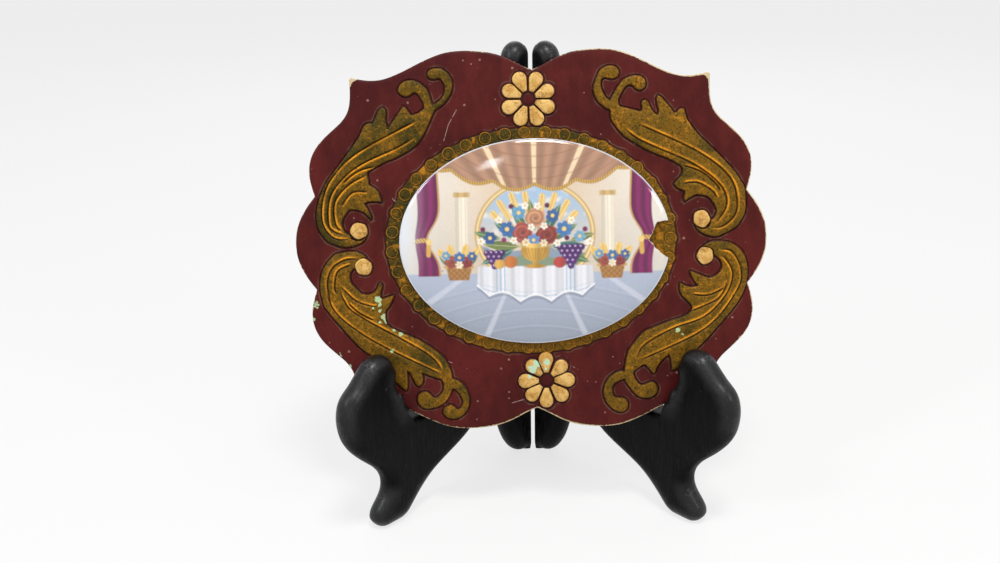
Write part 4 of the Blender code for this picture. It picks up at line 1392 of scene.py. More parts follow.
# Scrolls as they lie on the board, in millimetres from the face's middle
UPPER_LEFT_LEAF = (
    (-36.5, 49.3), (-34.5, 50.6), (-32.2, 52.8), (-30.6, 55.5), (-30.0, 58.5), (-30.5, 61.2),
    (-32.0, 63.2), (-34.2, 64.6), (-36.4, 64.8), (-38.5, 64.2), (-39.3, 62.9), (-39.0, 61.6),
    (-37.8, 60.8), (-36.3, 60.8), (-35.0, 61.1), (-33.8, 60.3), (-32.9, 58.4), (-32.8, 56.3),
    (-33.6, 54.3), (-35.2, 52.6), (-37.7, 51.2), (-39.1, 56.1), (-40.8, 58.2), (-42.8, 59.7),
    (-45.3, 60.5), (-47.6, 60.2), (-49.3, 59.2), (-50.2, 57.6), (-50.2, 55.8), (-47.2, 54.4),
    (-44.4, 55.8), (-42.9, 55.2), (-40.9, 51.7), (-40.8, 49.7), (-41.8, 49.2), (-43.0, 48.2),
    (-45.7, 47.4), (-47.8, 50.4), (-48.8, 50.6), (-51.4, 46.9), (-52.7, 45.1), (-54.5, 42.4),
    (-55.3, 45.4), (-55.1, 47.9), (-55.3, 49.7), (-56.5, 50.6), (-57.6, 49.7), (-58.6, 48.0),
    (-60.1, 44.8), (-61.5, 44.8), (-63.6, 43.6), (-65.6, 39.3), (-73.1, 29.2), (-78.6, 21.8),
    (-81.7, 13.3), (-81.6, 6.2), (-78.6, 1.1), (-76.1, -0.4), (-72.8, -1.5), (-69.5, -1.5),
    (-66.7, -0.8), (-64.4, 0.6), (-63.6, 1.9), (-65.5, 0.8), (-67.2, 0.7), (-69.0, 1.4), (-69.4, 2.6),
    (-70.7, 3.3), (-71.9, 4.8), (-72.5, 6.6), (-72.3, 8.6), (-70.2, 11.8), (-68.5, 12.5),
    (-64.7, 11.6), (-61.4, 8.5), (-61.6, 10.2), (-63.2, 13.5), (-64.0, 14.5), (-62.4, 15.2),
    (-59.8, 15.4), (-57.4, 15.1), (-58.5, 18.7), (-59.7, 20.2), (-62.0, 21.7), (-62.1, 23.2),
    (-62.6, 25.8), (-61.3, 27.2), (-55.5, 30.2), (-51.4, 31.8), (-45.3, 35.2), (-41.5, 39.4),
    (-37.5, 47.6),
)
UPPER_LEFT_VEINS = (
    ((-42.1, 46.2), (-66.0, 33.8), (-75.7, 24.7), (-79.5, 16.3), (-79.7, 7.2), (-75.3, 1.6),
     (-68.7, 1.2)),
    ((-43.7, 39.7), (-51.4, 35.3), (-63.5, 30.0), (-71.2, 24.7), (-76.7, 17.2), (-77.6, 8.2),
     (-76.0, 4.6), (-70.7, 2.3)),
    ((-62.6, 25.5), (-69.8, 21.6), (-75.0, 15.2), (-74.9, 7.1), (-72.2, 4.1)),
    ((-62.3, 19.0), (-68.3, 18.8), (-72.7, 13.6)),
    ((-59.5, 28.5), (-64.1, 27.5), (-68.2, 25.4), (-71.8, 22.2)),
)
UPPER_RIGHT_LEAF = (
    (29.1, 51.7), (27.6, 53.0), (26.4, 55.0), (25.7, 57.3), (25.9, 59.3), (27.0, 60.3), (28.5, 60.1),
    (30.2, 59.8), (31.9, 60.5), (32.6, 61.9), (32.3, 63.4), (30.8, 64.5), (28.8, 64.7), (26.7, 64.0),
    (25.0, 62.3), (23.0, 57.1), (23.2, 54.3), (24.3, 51.8), (26.1, 50.0), (27.8, 48.7), (29.0, 48.1),
    (29.7, 44.2), (33.5, 39.1), (36.4, 36.8), (43.4, 32.7), (50.9, 29.6), (53.9, 27.8), (55.7, 26.6),
    (56.0, 24.7), (55.4, 23.0), (54.1, 21.7), (52.7, 20.1), (54.1, 18.5), (55.8, 17.9), (57.0, 17.2),
    (56.6, 15.4), (56.6, 13.5), (59.9, 15.4), (61.9, 15.9), (65.9, 14.8), (68.4, 10.9), (68.6, 8.9),
    (67.8, 7.3), (66.6, 6.2), (66.3, 4.9), (65.4, 3.6), (63.8, 3.0), (62.0, 3.3), (60.5, 4.4),
    (62.0, 2.3), (64.2, 0.9), (67.3, 0.1), (70.3, 0.6), (75.9, 3.5), (77.9, 6.0), (79.2, 8.5),
    (79.7, 11.5), (79.4, 17.5), (78.3, 20.3), (74.6, 25.7), (65.6, 35.1), (62.6, 37.9), (58.4, 43.5),
    (57.4, 46.1), (57.0, 48.1), (55.9, 48.3), (54.8, 47.9), (54.1, 46.9), (53.1, 46.7), (51.7, 48.8),
    (49.9, 50.9), (48.4, 52.6), (47.1, 53.4), (46.6, 51.9), (46.9, 49.7), (47.4, 47.4), (46.9, 46.0),
    (45.6, 46.9), (44.4, 48.7), (43.6, 50.5), (42.6, 51.6), (41.4, 51.5), (40.9, 50.2), (41.2, 48.7),
    (40.7, 47.4), (33.3, 49.4), (32.3, 50.4), (32.5, 52.7), (34.7, 56.4), (36.2, 57.4), (37.7, 57.2),
    (38.7, 56.0), (40.2, 55.4), (41.8, 56.0), (42.5, 57.5), (42.1, 59.5), (40.5, 60.6), (38.2, 60.9),
    (35.5, 60.1), (33.2, 58.4), (30.1, 53.7),
)
UPPER_RIGHT_VEINS = (
    ((38.0, 43.3), (61.5, 32.1), (74.0, 21.7), (76.2, 10.1), (71.3, 4.1), (65.8, 3.4)),
    ((33.5, 41.9), (40.5, 36.5), (60.0, 27.4), (70.2, 19.2), (72.4, 12.1), (68.8, 5.9), (66.6, 4.7)),
    ((55.9, 27.0), (63.0, 24.4), (68.5, 19.7), (70.2, 16.7)),
    ((55.9, 20.0), (61.4, 20.4), (66.9, 17.3), (68.9, 14.2)),
)
LOWER_LEFT_LEAF = (
    (-63.5, -5.7), (-65.6, -4.2), (-68.4, -3.3), (-74.0, -3.9), (-76.4, -5.2), (-79.8, -9.6),
    (-81.3, -15.6), (-80.3, -22.5), (-78.7, -25.6), (-71.9, -33.9), (-66.4, -39.9), (-61.3, -43.8),
    (-60.1, -46.2), (-59.0, -47.4), (-57.1, -47.9), (-55.8, -50.0), (-53.9, -52.4), (-52.1, -54.6),
    (-49.7, -56.6), (-49.0, -54.9), (-48.9, -52.0), (-49.1, -49.0), (-48.0, -49.7), (-47.1, -51.6),
    (-45.9, -54.0), (-44.7, -54.9), (-43.3, -53.6), (-43.1, -51.7), (-43.5, -49.7), (-38.4, -51.7),
    (-36.0, -52.5), (-35.4, -55.6), (-36.1, -57.5), (-37.8, -59.1), (-39.4, -59.1), (-40.4, -57.9),
    (-41.8, -57.0), (-43.6, -57.1), (-45.1, -58.2), (-45.4, -60.1), (-44.7, -62.0), (-42.8, -63.3),
    (-40.0, -63.3), (-37.2, -62.6), (-34.8, -61.0), (-33.1, -58.5), (-32.2, -56.2), (-31.4, -56.0),
    (-29.9, -57.3), (-28.6, -59.5), (-28.2, -61.4), (-29.1, -63.3), (-30.5, -63.7), (-31.5, -62.7),
    (-33.1, -62.1), (-34.8, -62.9), (-35.8, -64.6), (-35.1, -66.2), (-33.5, -67.2), (-31.1, -67.4),
    (-28.7, -66.4), (-26.8, -64.5), (-25.7, -61.4), (-25.9, -58.6), (-26.9, -56.0), (-28.5, -53.8),
    (-30.4, -52.6), (-32.0, -52.2), (-32.4, -49.5), (-33.6, -46.6), (-35.4, -43.7), (-38.2, -41.3),
    (-43.7, -37.5), (-47.0, -36.0), (-53.5, -33.1), (-55.7, -31.6), (-56.6, -30.2), (-56.9, -27.8),
    (-56.5, -25.7), (-55.2, -24.1), (-53.3, -20.0), (-58.2, -21.5), (-58.6, -19.8), (-57.8, -16.3),
    (-58.9, -15.4), (-60.2, -18.1), (-61.7, -19.3), (-63.6, -19.7), (-65.9, -19.0), (-69.3, -15.4),
    (-70.0, -13.0), (-69.6, -11.1), (-68.7, -10.0), (-67.8, -9.4), (-67.8, -8.1), (-65.6, -6.0),
)
LOWER_LEFT_VEINS = (
    ((-79.2, -17.5), (-75.0, -27.0), (-60.7, -37.9), (-35.5, -50.8)),
    ((-73.8, -17.2), (-72.5, -21.4), (-67.0, -27.6), (-41.9, -42.2), (-35.7, -49.4)),
    ((-70.7, -22.9), (-66.5, -26.7), (-61.0, -29.6)),
    ((-73.3, -16.7), (-67.8, -22.0), (-61.8, -24.2), (-59.4, -24.2)),
    ((-77.3, -23.2), (-78.4, -15.2), (-76.2, -9.4), (-71.2, -6.4), (-66.5, -6.5)),
    ((-74.8, -19.5), (-75.7, -16.7), (-74.4, -10.8), (-69.2, -8.3)),
)
LOWER_RIGHT_LEAF = (
    (63.8, -3.4), (65.5, -2.3), (68.4, -1.7), (74.2, -2.5), (78.5, -6.2), (80.2, -12.2), (79.3, -18.9),
    (75.9, -25.6), (68.1, -34.7), (65.7, -37.5), (60.8, -42.3), (58.8, -43.9), (57.4, -46.1),
    (55.7, -47.8), (51.3, -50.7), (50.9, -46.5), (50.2, -44.3), (47.2, -46.9), (45.7, -49.0),
    (45.0, -50.7), (44.3, -51.6), (41.2, -48.2), (39.7, -48.5), (38.3, -49.4), (36.7, -50.7),
    (37.0, -52.5), (38.2, -54.7), (39.9, -55.7), (43.5, -54.6), (45.2, -55.6), (45.9, -57.5),
    (44.9, -59.5), (42.7, -60.6), (40.1, -60.6), (37.4, -59.3), (33.8, -54.7), (33.3, -53.2),
    (30.0, -54.6), (28.7, -56.3), (28.7, -58.5), (29.7, -60.2), (32.8, -60.6), (34.2, -61.9),
    (34.4, -64.1), (33.0, -65.6), (30.8, -65.8), (28.4, -64.5), (26.3, -62.1), (25.3, -59.1),
    (25.5, -56.2), (26.9, -53.3), (29.3, -51.2), (31.7, -50.3), (33.2, -50.6), (34.2, -44.7),
    (35.7, -41.4), (40.1, -36.1), (43.0, -34.5), (50.3, -31.7), (54.2, -30.6), (57.1, -29.3),
    (58.5, -28.1), (59.1, -27.0), (58.5, -25.3), (55.7, -22.4), (54.5, -19.9), (54.7, -17.2),
    (56.7, -18.3), (59.1, -18.9), (61.4, -18.4), (58.9, -14.7), (58.6, -12.7), (64.9, -15.3),
    (67.3, -15.1), (69.3, -13.7), (70.5, -11.8), (70.3, -9.6), (69.3, -8.2), (67.6, -6.7),
    (67.3, -5.2), (66.0, -4.2),
)
LOWER_RIGHT_VEINS = (
    ((37.8, -47.0), (63.8, -34.8), (75.9, -20.8), (77.7, -12.6), (74.1, -5.6), (68.4, -4.8)),
    ((37.6, -46.2), (41.0, -40.5), (51.7, -34.6), (63.8, -30.2), (72.1, -21.7), (74.5, -14.0),
     (71.7, -8.2), (68.8, -7.2)),
    ((58.5, -28.2), (65.3, -25.4), (68.7, -23.6), (71.1, -20.7), (72.3, -17.4)),
    ((59.1, -21.7), (65.3, -22.1), (71.6, -19.3)),
)


def repeat_on_points(name: str, thing: bpy.types.Object, write: Callable[[Graph, Any], dict[str, Any]],
                     inputs: dict[str, Any], material: bpy.types.Material) -> bpy.types.Object:
    """Repeat an object's mesh with a Geometry Nodes tree and make the result plain.

    Args:
        name: Name of the tree.
        thing: The object whose mesh is repeated.
        write: Writes the nodes from the inputs' sockets, and returns what places the instances.
        inputs: Value of each named input.
        material: The material of the result.

    Returns:
        A new object with the plain mesh.
    """
    kinds = {int: "NodeSocketInt", float: FLOAT, tuple: VECTOR}
    sockets = {key: kinds[type(value)] for key, value in inputs.items()}
    graph, given = new_group(name, {"Geometry": GEOMETRY, **sockets, "Material": "NodeSocketMaterial"},
                             "GeometryNodeTree")
    places = write(graph, given)
    instances = graph.add("GeometryNodeInstanceOnPoints", {"Instance": given["Geometry"], **places})[0]
    real = graph.add("GeometryNodeRealizeInstances", {0: instances})[0]
    dressed = graph.add("GeometryNodeSetMaterial", {"Geometry": real, "Material": given["Material"]})
    modifier = thing.modifiers.new(name, "NODES")
    modifier.node_group = graph.give(Geometry=dressed[0])
    wanted = {**inputs, "Material": material}
    for item in graph.tree.interface.items_tree:
        if item.in_out == "INPUT" and item.name in wanted:
            modifier[item.identifier] = wanted[item.name]
    mesh = bpy.data.meshes.new_from_object(thing.evaluated_get(bpy.context.evaluated_depsgraph_get()))
    label = thing.name
    bpy.data.objects.remove(thing, do_unlink=True)
    mesh.name = label
    return link(label, mesh)


def vertices(thing: bpy.types.Object) -> Array:
    """Return an object's vertices in millimetres."""
    return np.array([v.co for v in thing.data.vertices]) / MM


@dataclass
class Flower:
    """One flower of eight petals round a dark middle.

    Attributes:
        name: The CAD node it stands for.
        plane: The plane of the board's back.
        middle: Its place on the board.
        turn: Turn of its first petal in degrees.
        seed: Number of the petals' small unevenness.
        chips: Flaked spots, from the flower's middle.
        petals: Number of petals.
        inner: Where a petal starts.
        outer: Where it ends.
        gap: Half the gap between two petals.
        base: Level of its foot.
        height: Height of a petal over it.
    """

    name: str
    plane: PlaneFrame
    middle: Point
    turn: float
    seed: int
    chips: Sequence[Spot] = ()
    petals: int = 8
    inner: float = 2.9
    outer: float = 10.7
    gap: float = 0.33
    base: float = 5.75
    height: float = 1.35

    def petal_loop(self) -> Array:
        """Return one petal's outline along +X: a wedge that ends in a round cap."""
        wedge = math.pi / self.petals
        cap = (self.outer * math.sin(wedge) - self.gap) / (1 + math.sin(wedge))
        way = np.linspace(-math.pi / 2 - wedge, math.pi / 2 + wedge, 25)
        half = self.inner * math.tan(wedge) - self.gap / math.cos(wedge)
        loop = np.vstack([(self.inner, half), (self.inner, -half), circle(way) * cap + (self.outer - cap, 0)])
        return even_line(closed(loop), 0.42)[:-1]

    def petal(self) -> bpy.types.Object:
        """Make one petal as a low cushion."""
        loop = self.petal_loop()

        def level(points: Array) -> Array:
            gap = edge_distance(points, loop)
            dip = 0.10 * bell(points[:, 1], 0.0, 0.4) * ramp(points[:, 0], self.outer - 3.0, self.inner)
            return self.base + self.height - round_off(gap, 0.5) + 0.16 * ramp(gap, 0.2, 2.2) - dip

        extra = np.vstack([inset(loop, 0.12), inset(loop, 0.3), hex_points(loop, 0.6, 0.5)])
        shell = closed_shell(loop, extra, hex_points(loop, 2.0, 0.8), level, self.base)
        return shell.make("leafed_" + self.name, TABLE)

    def write_ring(self, graph: Graph, given: Any) -> dict[str, Any]:
        """Write the nodes that turn petals round the middle."""
        index = graph.add("GeometryNodeInputIndex")[0]
        full = graph.math("DIVIDE", math.tau, given["Petals"])
        angle = graph.plus(graph.times(index, full), given["Turn"],
                           graph.random(-0.035, 0.035, given["Seed"]))
        size = graph.random(0.95, 1.03, given["Seed"])
        return {"Points": graph.add("GeometryNodePoints", {"Count": given["Petals"]})[0],
                "Rotation": graph.vector(z=angle), "Scale": graph.vector(size, size, 1.0)}

    def build(self, material: bpy.types.Material) -> None:
        """Make the ring of petals."""
        inputs = {"Petals": self.petals, "Turn": math.radians(self.turn), "Seed": self.seed}
        thing = repeat_on_points("petal_ring_" + self.name, self.petal(), self.write_ring, inputs, material)
        points = vertices(thing)
        flat = points[:, :2]
        # Painted shade on the petals' low sides and between them.
        mark(thing, cavity=ramp(points[:, 2], 6.75, 6.45),
             chip=spots(flat, self.chips, 1.1 * waver(flat, 0.9, 31), 0.6))
        x, y = self.middle
        thing.data.transform(self.plane.matrix() @ Matrix.Translation((x * MM, y * MM, 0)))
        finish_piece(thing, Body.PLAQUE, Slot.PALE_GILT, None, self.name)

    def outlines(self) -> list[Ornament]:
        """Return the pressed outlines of the petals and the middle."""
        loops = []
        for number in range(self.petals):
            angle = math.radians(self.turn) + math.tau * number / self.petals
            turn = np.array([[math.cos(angle), math.sin(angle)], [-math.sin(angle), math.cos(angle)]])
            loops.append(Ornament(self.name, self.petal_loop() @ turn + self.middle, 0.22))
        ring = circle(np.linspace(0, math.tau, 24, endpoint=False)) * 2.05 + self.middle
        return [*loops, Ornament(self.name + "_middle", ring, 0.24)]


@dataclass
class Pearl:
    """One pale gilt dot, a little out of round.

    Attributes:
        name: The CAD node it stands for.
        plane: The plane of the board's back.
        middle: Its place on the board.
        seed: Number of its shape.
        base: Level of its foot.
        top: Level of its face.
    """

    name: str
    plane: PlaneFrame
    middle: Point
    seed: int
    base: float = 5.75
    top: float = 7.05

    def __post_init__(self) -> None:
        """Read the dot's size from the frame and make it uneven."""
        radius = np.ptp(section(self.name, self.plane, 6.5)[:, 0]) / 2
        angle = np.linspace(0, math.tau, 56, endpoint=False)
        swell = 1 + 0.035 * np.sin(2 * angle + self.seed) + 0.03 * np.sin(5 * angle + 2.1 * self.seed)
        self.loop = circle(angle) * (radius * swell)[:, None] + self.middle

    def level(self, points: Array) -> Array:
        """Return the face's heights."""
        gap = edge_distance(points, self.loop)
        return self.top - round_off(gap, 0.5) + 0.14 * ramp(gap, 0.2, 3.0) \
            + 0.05 * waver(points, 1.3, self.seed)

    def build(self, material: bpy.types.Material) -> None:
        """Make the dot."""
        extra = np.vstack([inset(self.loop, 0.12), inset(self.loop, 0.3),
                           hex_points(self.loop, 0.5, 0.45)])
        shell = closed_shell(self.loop, extra, hex_points(self.loop, 1.6, 0.6), self.level, self.base)
        thing = shell.make("leafed_" + self.name, self.plane)
        # Painted shade round the dot's low edge and wall.
        mark(thing, cavity=ramp(shell.points[:, 2], 6.7, 6.45), chip=0.0)
        finish_piece(thing, Body.PLAQUE, Slot.PALE_GILT, material, self.name)


@dataclass
class OvalBand:
    """The gilt oval ground with its band of stamped rings.

    Attributes:
        plane: The plane of the board's back.
        beads: Number of stamped rings.
        middle: The band's middle, a little left of the board's.
        path: Half width and half height of the oval through the rings' middles.
        bead_radius: Radius of a ring's ridge.
        base: Level of the foot.
        top: Level of the ground.
    """

    plane: PlaneFrame
    beads: int = 39
    middle: Point = (-1.3, -0.3)
    path: Point = (52.7, 40.5)
    bead_radius: float = 2.10
    base: float = 5.7
    top: float = 6.75

    def __post_init__(self) -> None:
        """Place the rings along their oval."""
        line = circle(np.linspace(0, math.tau, 2001)) * self.path + self.middle
        length = distance(np.diff(line, axis=0)).sum()
        self.middles = even_line(line, 0.999 * length / (self.beads - 0.5))[:-1]
        self.loop = self.scalloped()

    def scalloped(self) -> Array:
        """Return the band's outer edge, which bulges round each ring."""
        way = circle(np.linspace(0, math.tau, 900, endpoint=False))
        a, b = np.array(self.path) + 1.7
        reach = 1 / np.hypot(way[:, 0] / a, way[:, 1] / b) + 0.5 * blotches(way * 40.0, 3.0, 9)
        bulge = self.bead_radius + 0.45
        for middle in self.middles - self.middle:
            along = way @ middle
            across = np.abs(way[:, 0] * middle[1] - way[:, 1] * middle[0])
            edge = along + np.sqrt(np.maximum(bulge ** 2 - across ** 2, 0))
            reach = np.where((along > 0) & (across < bulge), np.maximum(reach, edge), reach)
        return way * reach[:, None] + self.middle

    def bead_distance(self, points: Array) -> Array:
        """Return each point's distance from the nearest ring's middle."""
        return np.min([distance(points, middle) for middle in self.middles], axis=0)

    def level(self, points: Array) -> Array:
        """Return the ground's heights, pressed down round each ring."""
        gap = edge_distance(points, self.loop)
        pressed = 0.20 * bell(self.bead_distance(points), self.bead_radius + 0.36, 0.28)
        return self.top - round_off(gap, 0.4) - pressed + 0.12 * waver(points, 1.1, 13) * ramp(gap, 0.0, 0.5)

    def build(self, gilt: bpy.types.Material) -> None:
        """Make the ground and its rings."""
        fine = hex_points(self.loop, 0.42, 0.35)
        inner = hex_points(self.loop, 2.6, 0.35)
        extra = np.vstack([inset(self.loop, 0.15), fine[distance(fine / self.path) > 0.84],
                           inner[distance(inner / self.path) < 0.84]])
        shell = closed_shell(self.loop, extra, hex_points(self.loop, 8.0, 3.0), self.level, self.base)
        thing = shell.make("gilt_oval_band", self.plane)
        flat = shell.points[:, :2]
        # Painted shade in the groove round each ring and at the band's edge; the walls are darkened too.
        dark = np.maximum(0.62 * bell(self.bead_distance(flat), self.bead_radius + 0.36, 0.22),
                          0.45 * ramp(edge_distance(flat, self.loop), 0.25, 0.0))
        mark(thing, cavity=np.where(shell.on(Zone.FACE), dark, 0.85),
             ridge=0.5 * ramp(blotches(flat, 1.6, 19), 0.62, 0.9), warmth=self.warmth(flat), chip=0.0)
        finish_piece(thing, Body.PLAQUE, Slot.GILT, gilt, "gilt_oval_ground")
        self.build_rings(gilt)

    def warmth(self, points: Array) -> Array:
        """Return how orange the gilding is, most at the right and below."""
        lean = points @ (0.75, -0.66) / 40.0
        return -0.35 + 0.95 * ramp(lean, -0.5, 0.8) + 0.35 * waver(points, 7.0, 23)

    def ring(self) -> bpy.types.Object:
        """Make one stamped ring: a ridge round a low button."""
        edge = self.bead_radius
        profile = ((0.6 * edge, 0.11), (edge - 0.62, 0.08), (edge - 0.38, 0.01), (edge - 0.16, 0.13),
                   (edge, 0.17), (edge + 0.18, 0.06), (edge + 0.28, -0.45))
        turns = 22
        points = [(0.0, 0.0, 0.12)]
        for radius, height in profile:
            points += [(radius * math.cos(math.tau * i / turns), radius * math.sin(math.tau * i / turns),
                        height) for i in range(turns)]
        points.append((0.0, 0.0, profile[-1][1]))
        faces: list[tuple[int, ...]] = [(0, 1 + i, 1 + (i + 1) % turns) for i in range(turns)]
        last = 1 + (len(profile) - 1) * turns
        for start in range(1, last, turns):
            for i in range(turns):
                j = (i + 1) % turns
                faces.append((start + i, start + turns + i, start + turns + j, start + j))
        faces += [(len(points) - 1, last + (i + 1) % turns, last + i) for i in range(turns)]
        shell = Shell(np.array(points), faces, np.zeros(len(points)))
        thing = shell.make("gilt_stamped_rings", TABLE, 60.0)
        far = distance(shell.points[:, :2])
        # Painted shade in the ring's groove and painted highlight on its ridge.
        mark(thing, cavity=0.7 * bell(far, edge - 0.38, 0.14), ridge=0.45 * bell(far, edge, 0.15), chip=0.0)
        return thing

    def write_band(self, graph: Graph, given: Any) -> dict[str, Any]:
        """Write the nodes that set the rings along the oval."""
        oval = graph.add("GeometryNodeCurvePrimitiveCircle", {"Resolution": 256, "Radius": 1.0},
                         mode="RADIUS")[0]
        size = graph.vector(given["Half Width"], given["Half Height"], 1.0)
        oval = graph.add("GeometryNodeTransform", {"Geometry": oval, "Scale": size})[0]
        oval = graph.add("GeometryNodeTransform", {"Geometry": oval, "Translation": given["Middle"]})[0]
        points = graph.add("GeometryNodeCurveToPoints", {"Curve": oval, "Count": given["Rings"]},
                           mode="COUNT")[0]
        drift = graph.random((-0.00022, -0.00022, -0.00005), (0.00022, 0.00022, 0.00007), given["Seed"])
        points = graph.add("GeometryNodeSetPosition", {"Geometry": points, "Offset": drift})[0]
        return {"Points": points,
                "Rotation": graph.random((-0.06, -0.06, -3.0), (0.06, 0.06, 3.0), given["Seed"]),
                "Scale": graph.random((0.90, 0.90, 0.55), (1.08, 1.08, 1.0), given["Seed"])}

    def build_rings(self, gilt: bpy.types.Material) -> None:
        """Make all stamped rings as one piece."""
        inputs = {"Half Width": self.path[0] * MM, "Half Height": self.path[1] * MM,
                  "Middle": (self.middle[0] * MM, self.middle[1] * MM, 0.0), "Rings": self.beads, "Seed": 5}
        thing = repeat_on_points("ring_band", self.ring(), self.write_band, inputs, gilt)
        mark(thing, warmth=self.warmth(vertices(thing)[:, :2]))
        lift = Matrix.Translation((0, 0, (self.top + 0.02) * MM))
        thing.data.transform(self.plane.matrix() @ lift)
        finish_piece(thing, Body.PLAQUE, Slot.GILT, None)


# The print on the porcelain


def linear(colour: Sequence[float]) -> Array:
    """Return a display colour, 0 to 255, as a linear one."""
    share = np.asarray(colour, float) / 255.0
    return np.where(share <= 0.04045, share / 12.92, ((share + 0.055) / 1.055) ** 2.4)


@dataclass
class StillLifePrint:
    """A generic still life: an urn of flowers, wheat and grapes under a canopy.

    Attributes:
        points: Where colours are wanted, in the oval's millimetres.
        soft: Width of a painted edge.
    """

    points: Array
    soft: float = 0.28

    def __post_init__(self) -> None:
        """Start with an empty sheet."""
        self.x, self.y = self.points.T
        self.sheet = np.zeros((len(self.points), 3))

    def lay(self, mask: Array, colour: Sequence[float], shade: Array | float = 1.0) -> None:
        """Lay a colour over the sheet.

        Args:
            mask: How much of it shows at each point.
            colour: A display colour, 0 to 255.
            shade: How light it is at each point.
        """
        tone = linear(colour)[None] * np.atleast_1d(shade)[:, None]
        self.sheet += (np.clip(tone, 0, 1) - self.sheet) * np.clip(mask, 0, 1)[:, None]

    def edge(self, gap: Array) -> Array:
        """Return 1 inside a shape and 0 outside, from a signed distance."""
        return ramp(gap, self.soft, -self.soft)

    def band(self, gap: Array, half: Array | float) -> Array:
        """Return 1 within a half width on both sides of 0."""
        return self.edge(np.abs(gap) - half)

    def area(self, low: Array | float, high: Array | float) -> Array:
        """Return the mask between a lower and an upper level."""
        return self.edge(np.maximum(low - self.y, self.y - high))

    def turned(self, x: float, y: float, wide: float, high: float, turn: float) -> tuple[Array, Array, Array]:
        """Return coordinates in an oval's own frame, and the distance there, 1 at its rim."""
        c, s = math.cos(turn), math.sin(turn)
        dx, dy = self.x - x, self.y - y
        u, v = (dx * c + dy * s) / wide, (dy * c - dx * s) / high
        return u, v, np.sqrt(u * u + v * v)

    def disc(self, x: float, y: float, wide: float, high: float | None = None, turn: float = 0.0) -> Array:
        """Return the mask of an oval spot."""
        high = high or wide
        return self.edge((self.turned(x, y, wide, high, turn)[2] - 1) * min(wide, high))

    def stroke(self, line: Sequence[Point], width: float) -> Array:
        """Return the mask of a brush stroke."""
        points = np.array(line, float)
        points = smooth_line(points, 0.6) if len(line) > 2 else points
        return self.edge(nearness(self.points, points, width + 2.0).gap - width)

    def backdrop(self) -> None:
        """Paint the pale wall, the sky in its middle and the light."""
        x, y = self.x, self.y
        wall = 0.90 + 0.12 * ramp(y, -14.0, 20.0) + 0.05 * waver(self.points, 7.0, 41)
        self.lay(np.ones(len(x)), (226, 220, 210), wall)
        self.lay(bell(x, 0.0, 30.0) * 0.8, (214, 182, 146), wall)
        rim = np.sqrt((x / 21.5) ** 2 + ((y - 3.0) / 19.0) ** 2) * 19.0 - 19.0
        sky = self.edge(rim)
        self.lay(sky, (226, 202, 168))
        self.lay(sky * ramp(y, -10.0, 19.0), (164, 190, 216))
        cloud = blotches(self.points * (0.55, 1.3), 4.2, 42) * 0.6 + blotches(self.points, 2.1, 43) * 0.4
        self.lay(sky * ramp(cloud, 0.48, 0.72) * 0.75, (240, 232, 222))
        hills = -3.0 + 1.6 * np.sin(x * 0.24 + 1.0) + 0.7 * np.sin(x * 0.61)
        self.lay(sky * self.area(-20.0, hills), (138, 152, 172))
        self.lay(sky * self.area(-20.0, -5.4 + 0.9 * np.sin(x * 0.33 + 2.0)), (128, 146, 122))
        self.lay(self.band(rim, 0.9), (201, 164, 104))
        self.lay(self.band(rim, 0.3), (236, 214, 160))

    def steps(self) -> None:
        """Paint the pale steps with their light edges and the light on the ground."""
        x, y = self.x, self.y
        ground = self.area(-60.0, -11.8)
        self.lay(ground, (154, 162, 178), 0.94 + 0.36 * ramp(y, -40.0, -12.0))
        for number, level in enumerate((-15.5, -20.0, -25.4, -31.6)):
            curve = level - 0.0042 * x ** 2 * (1.0 + 0.25 * number)
            self.lay(self.band(y - curve, 0.2) * 0.2, (222, 224, 234))
            self.lay(self.area(curve - 1.5, curve - 0.25) * 0.08, (112, 112, 138))
        turn = np.arctan2(x, -(y - 6.0))
        for way in (-0.95, -0.42, 0.42, 0.95):
            self.lay(ramp(np.abs(turn - way), 0.035, 0.012) * ground * 0.55, (214, 216, 228))

    def columns(self) -> None:
        """Paint two fluted cream columns."""
        for side in (-1, 1):
            off = self.x - side * 27.2
            shaft = self.band(off, 2.3) * self.area(-11.5, 18.5)
            self.lay(shaft, (236, 226, 206), 0.72 + 0.34 * np.cos(off * 0.62 - 0.35))
            self.lay(shaft * ramp(np.cos(off * 4.6), 0.55, 0.95) * 0.35, (170, 150, 124))
            for level, wide in ((17.6, 3.1), (-10.6, 3.2)):
                block = self.edge(np.maximum(np.abs(off) - wide, np.abs(self.y - level) - 0.9))
                self.lay(block, (214, 180, 118), 0.85 + 0.12 * np.cos(off * 2.0))

    def drapes(self) -> None:
        """Paint the two magenta curtains with their gold cords."""
        x, y = np.abs(self.x), self.y
        tie = bell(y, 1.0, 6.5)
        low = 34.5 + 5.4 * tie + 0.06 * np.abs(y - 1.0)
        curtain = self.edge(low - x) * self.edge(x - low - 8.4 + 3.6 * tie) * self.area(-12.6, 30.0)
        fold = 0.5 + 0.5 * np.cos((x - low) * (1.7 + 1.3 * tie) + 0.05 * y)
        self.lay(curtain, (122, 24, 88), 0.62 + 0.55 * fold)
        self.lay(curtain * self.edge(x - low - 0.55), (205, 160, 92))
        cord = curtain * self.band(y - 1.0 + 0.08 * (x - 40), 0.8)
        self.lay(cord, (214, 172, 92), 0.8 + 0.3 * np.cos(self.x * 5 + y * 4))
        for side in (-1, 1):
            self.lay(self.stroke([(side * 39.6, 0.4), (side * 39.8, -4.6)], 0.85), (214, 168, 84))
            self.lay(self.disc(side * 39.6, 0.2, 1.1), (236, 204, 128))

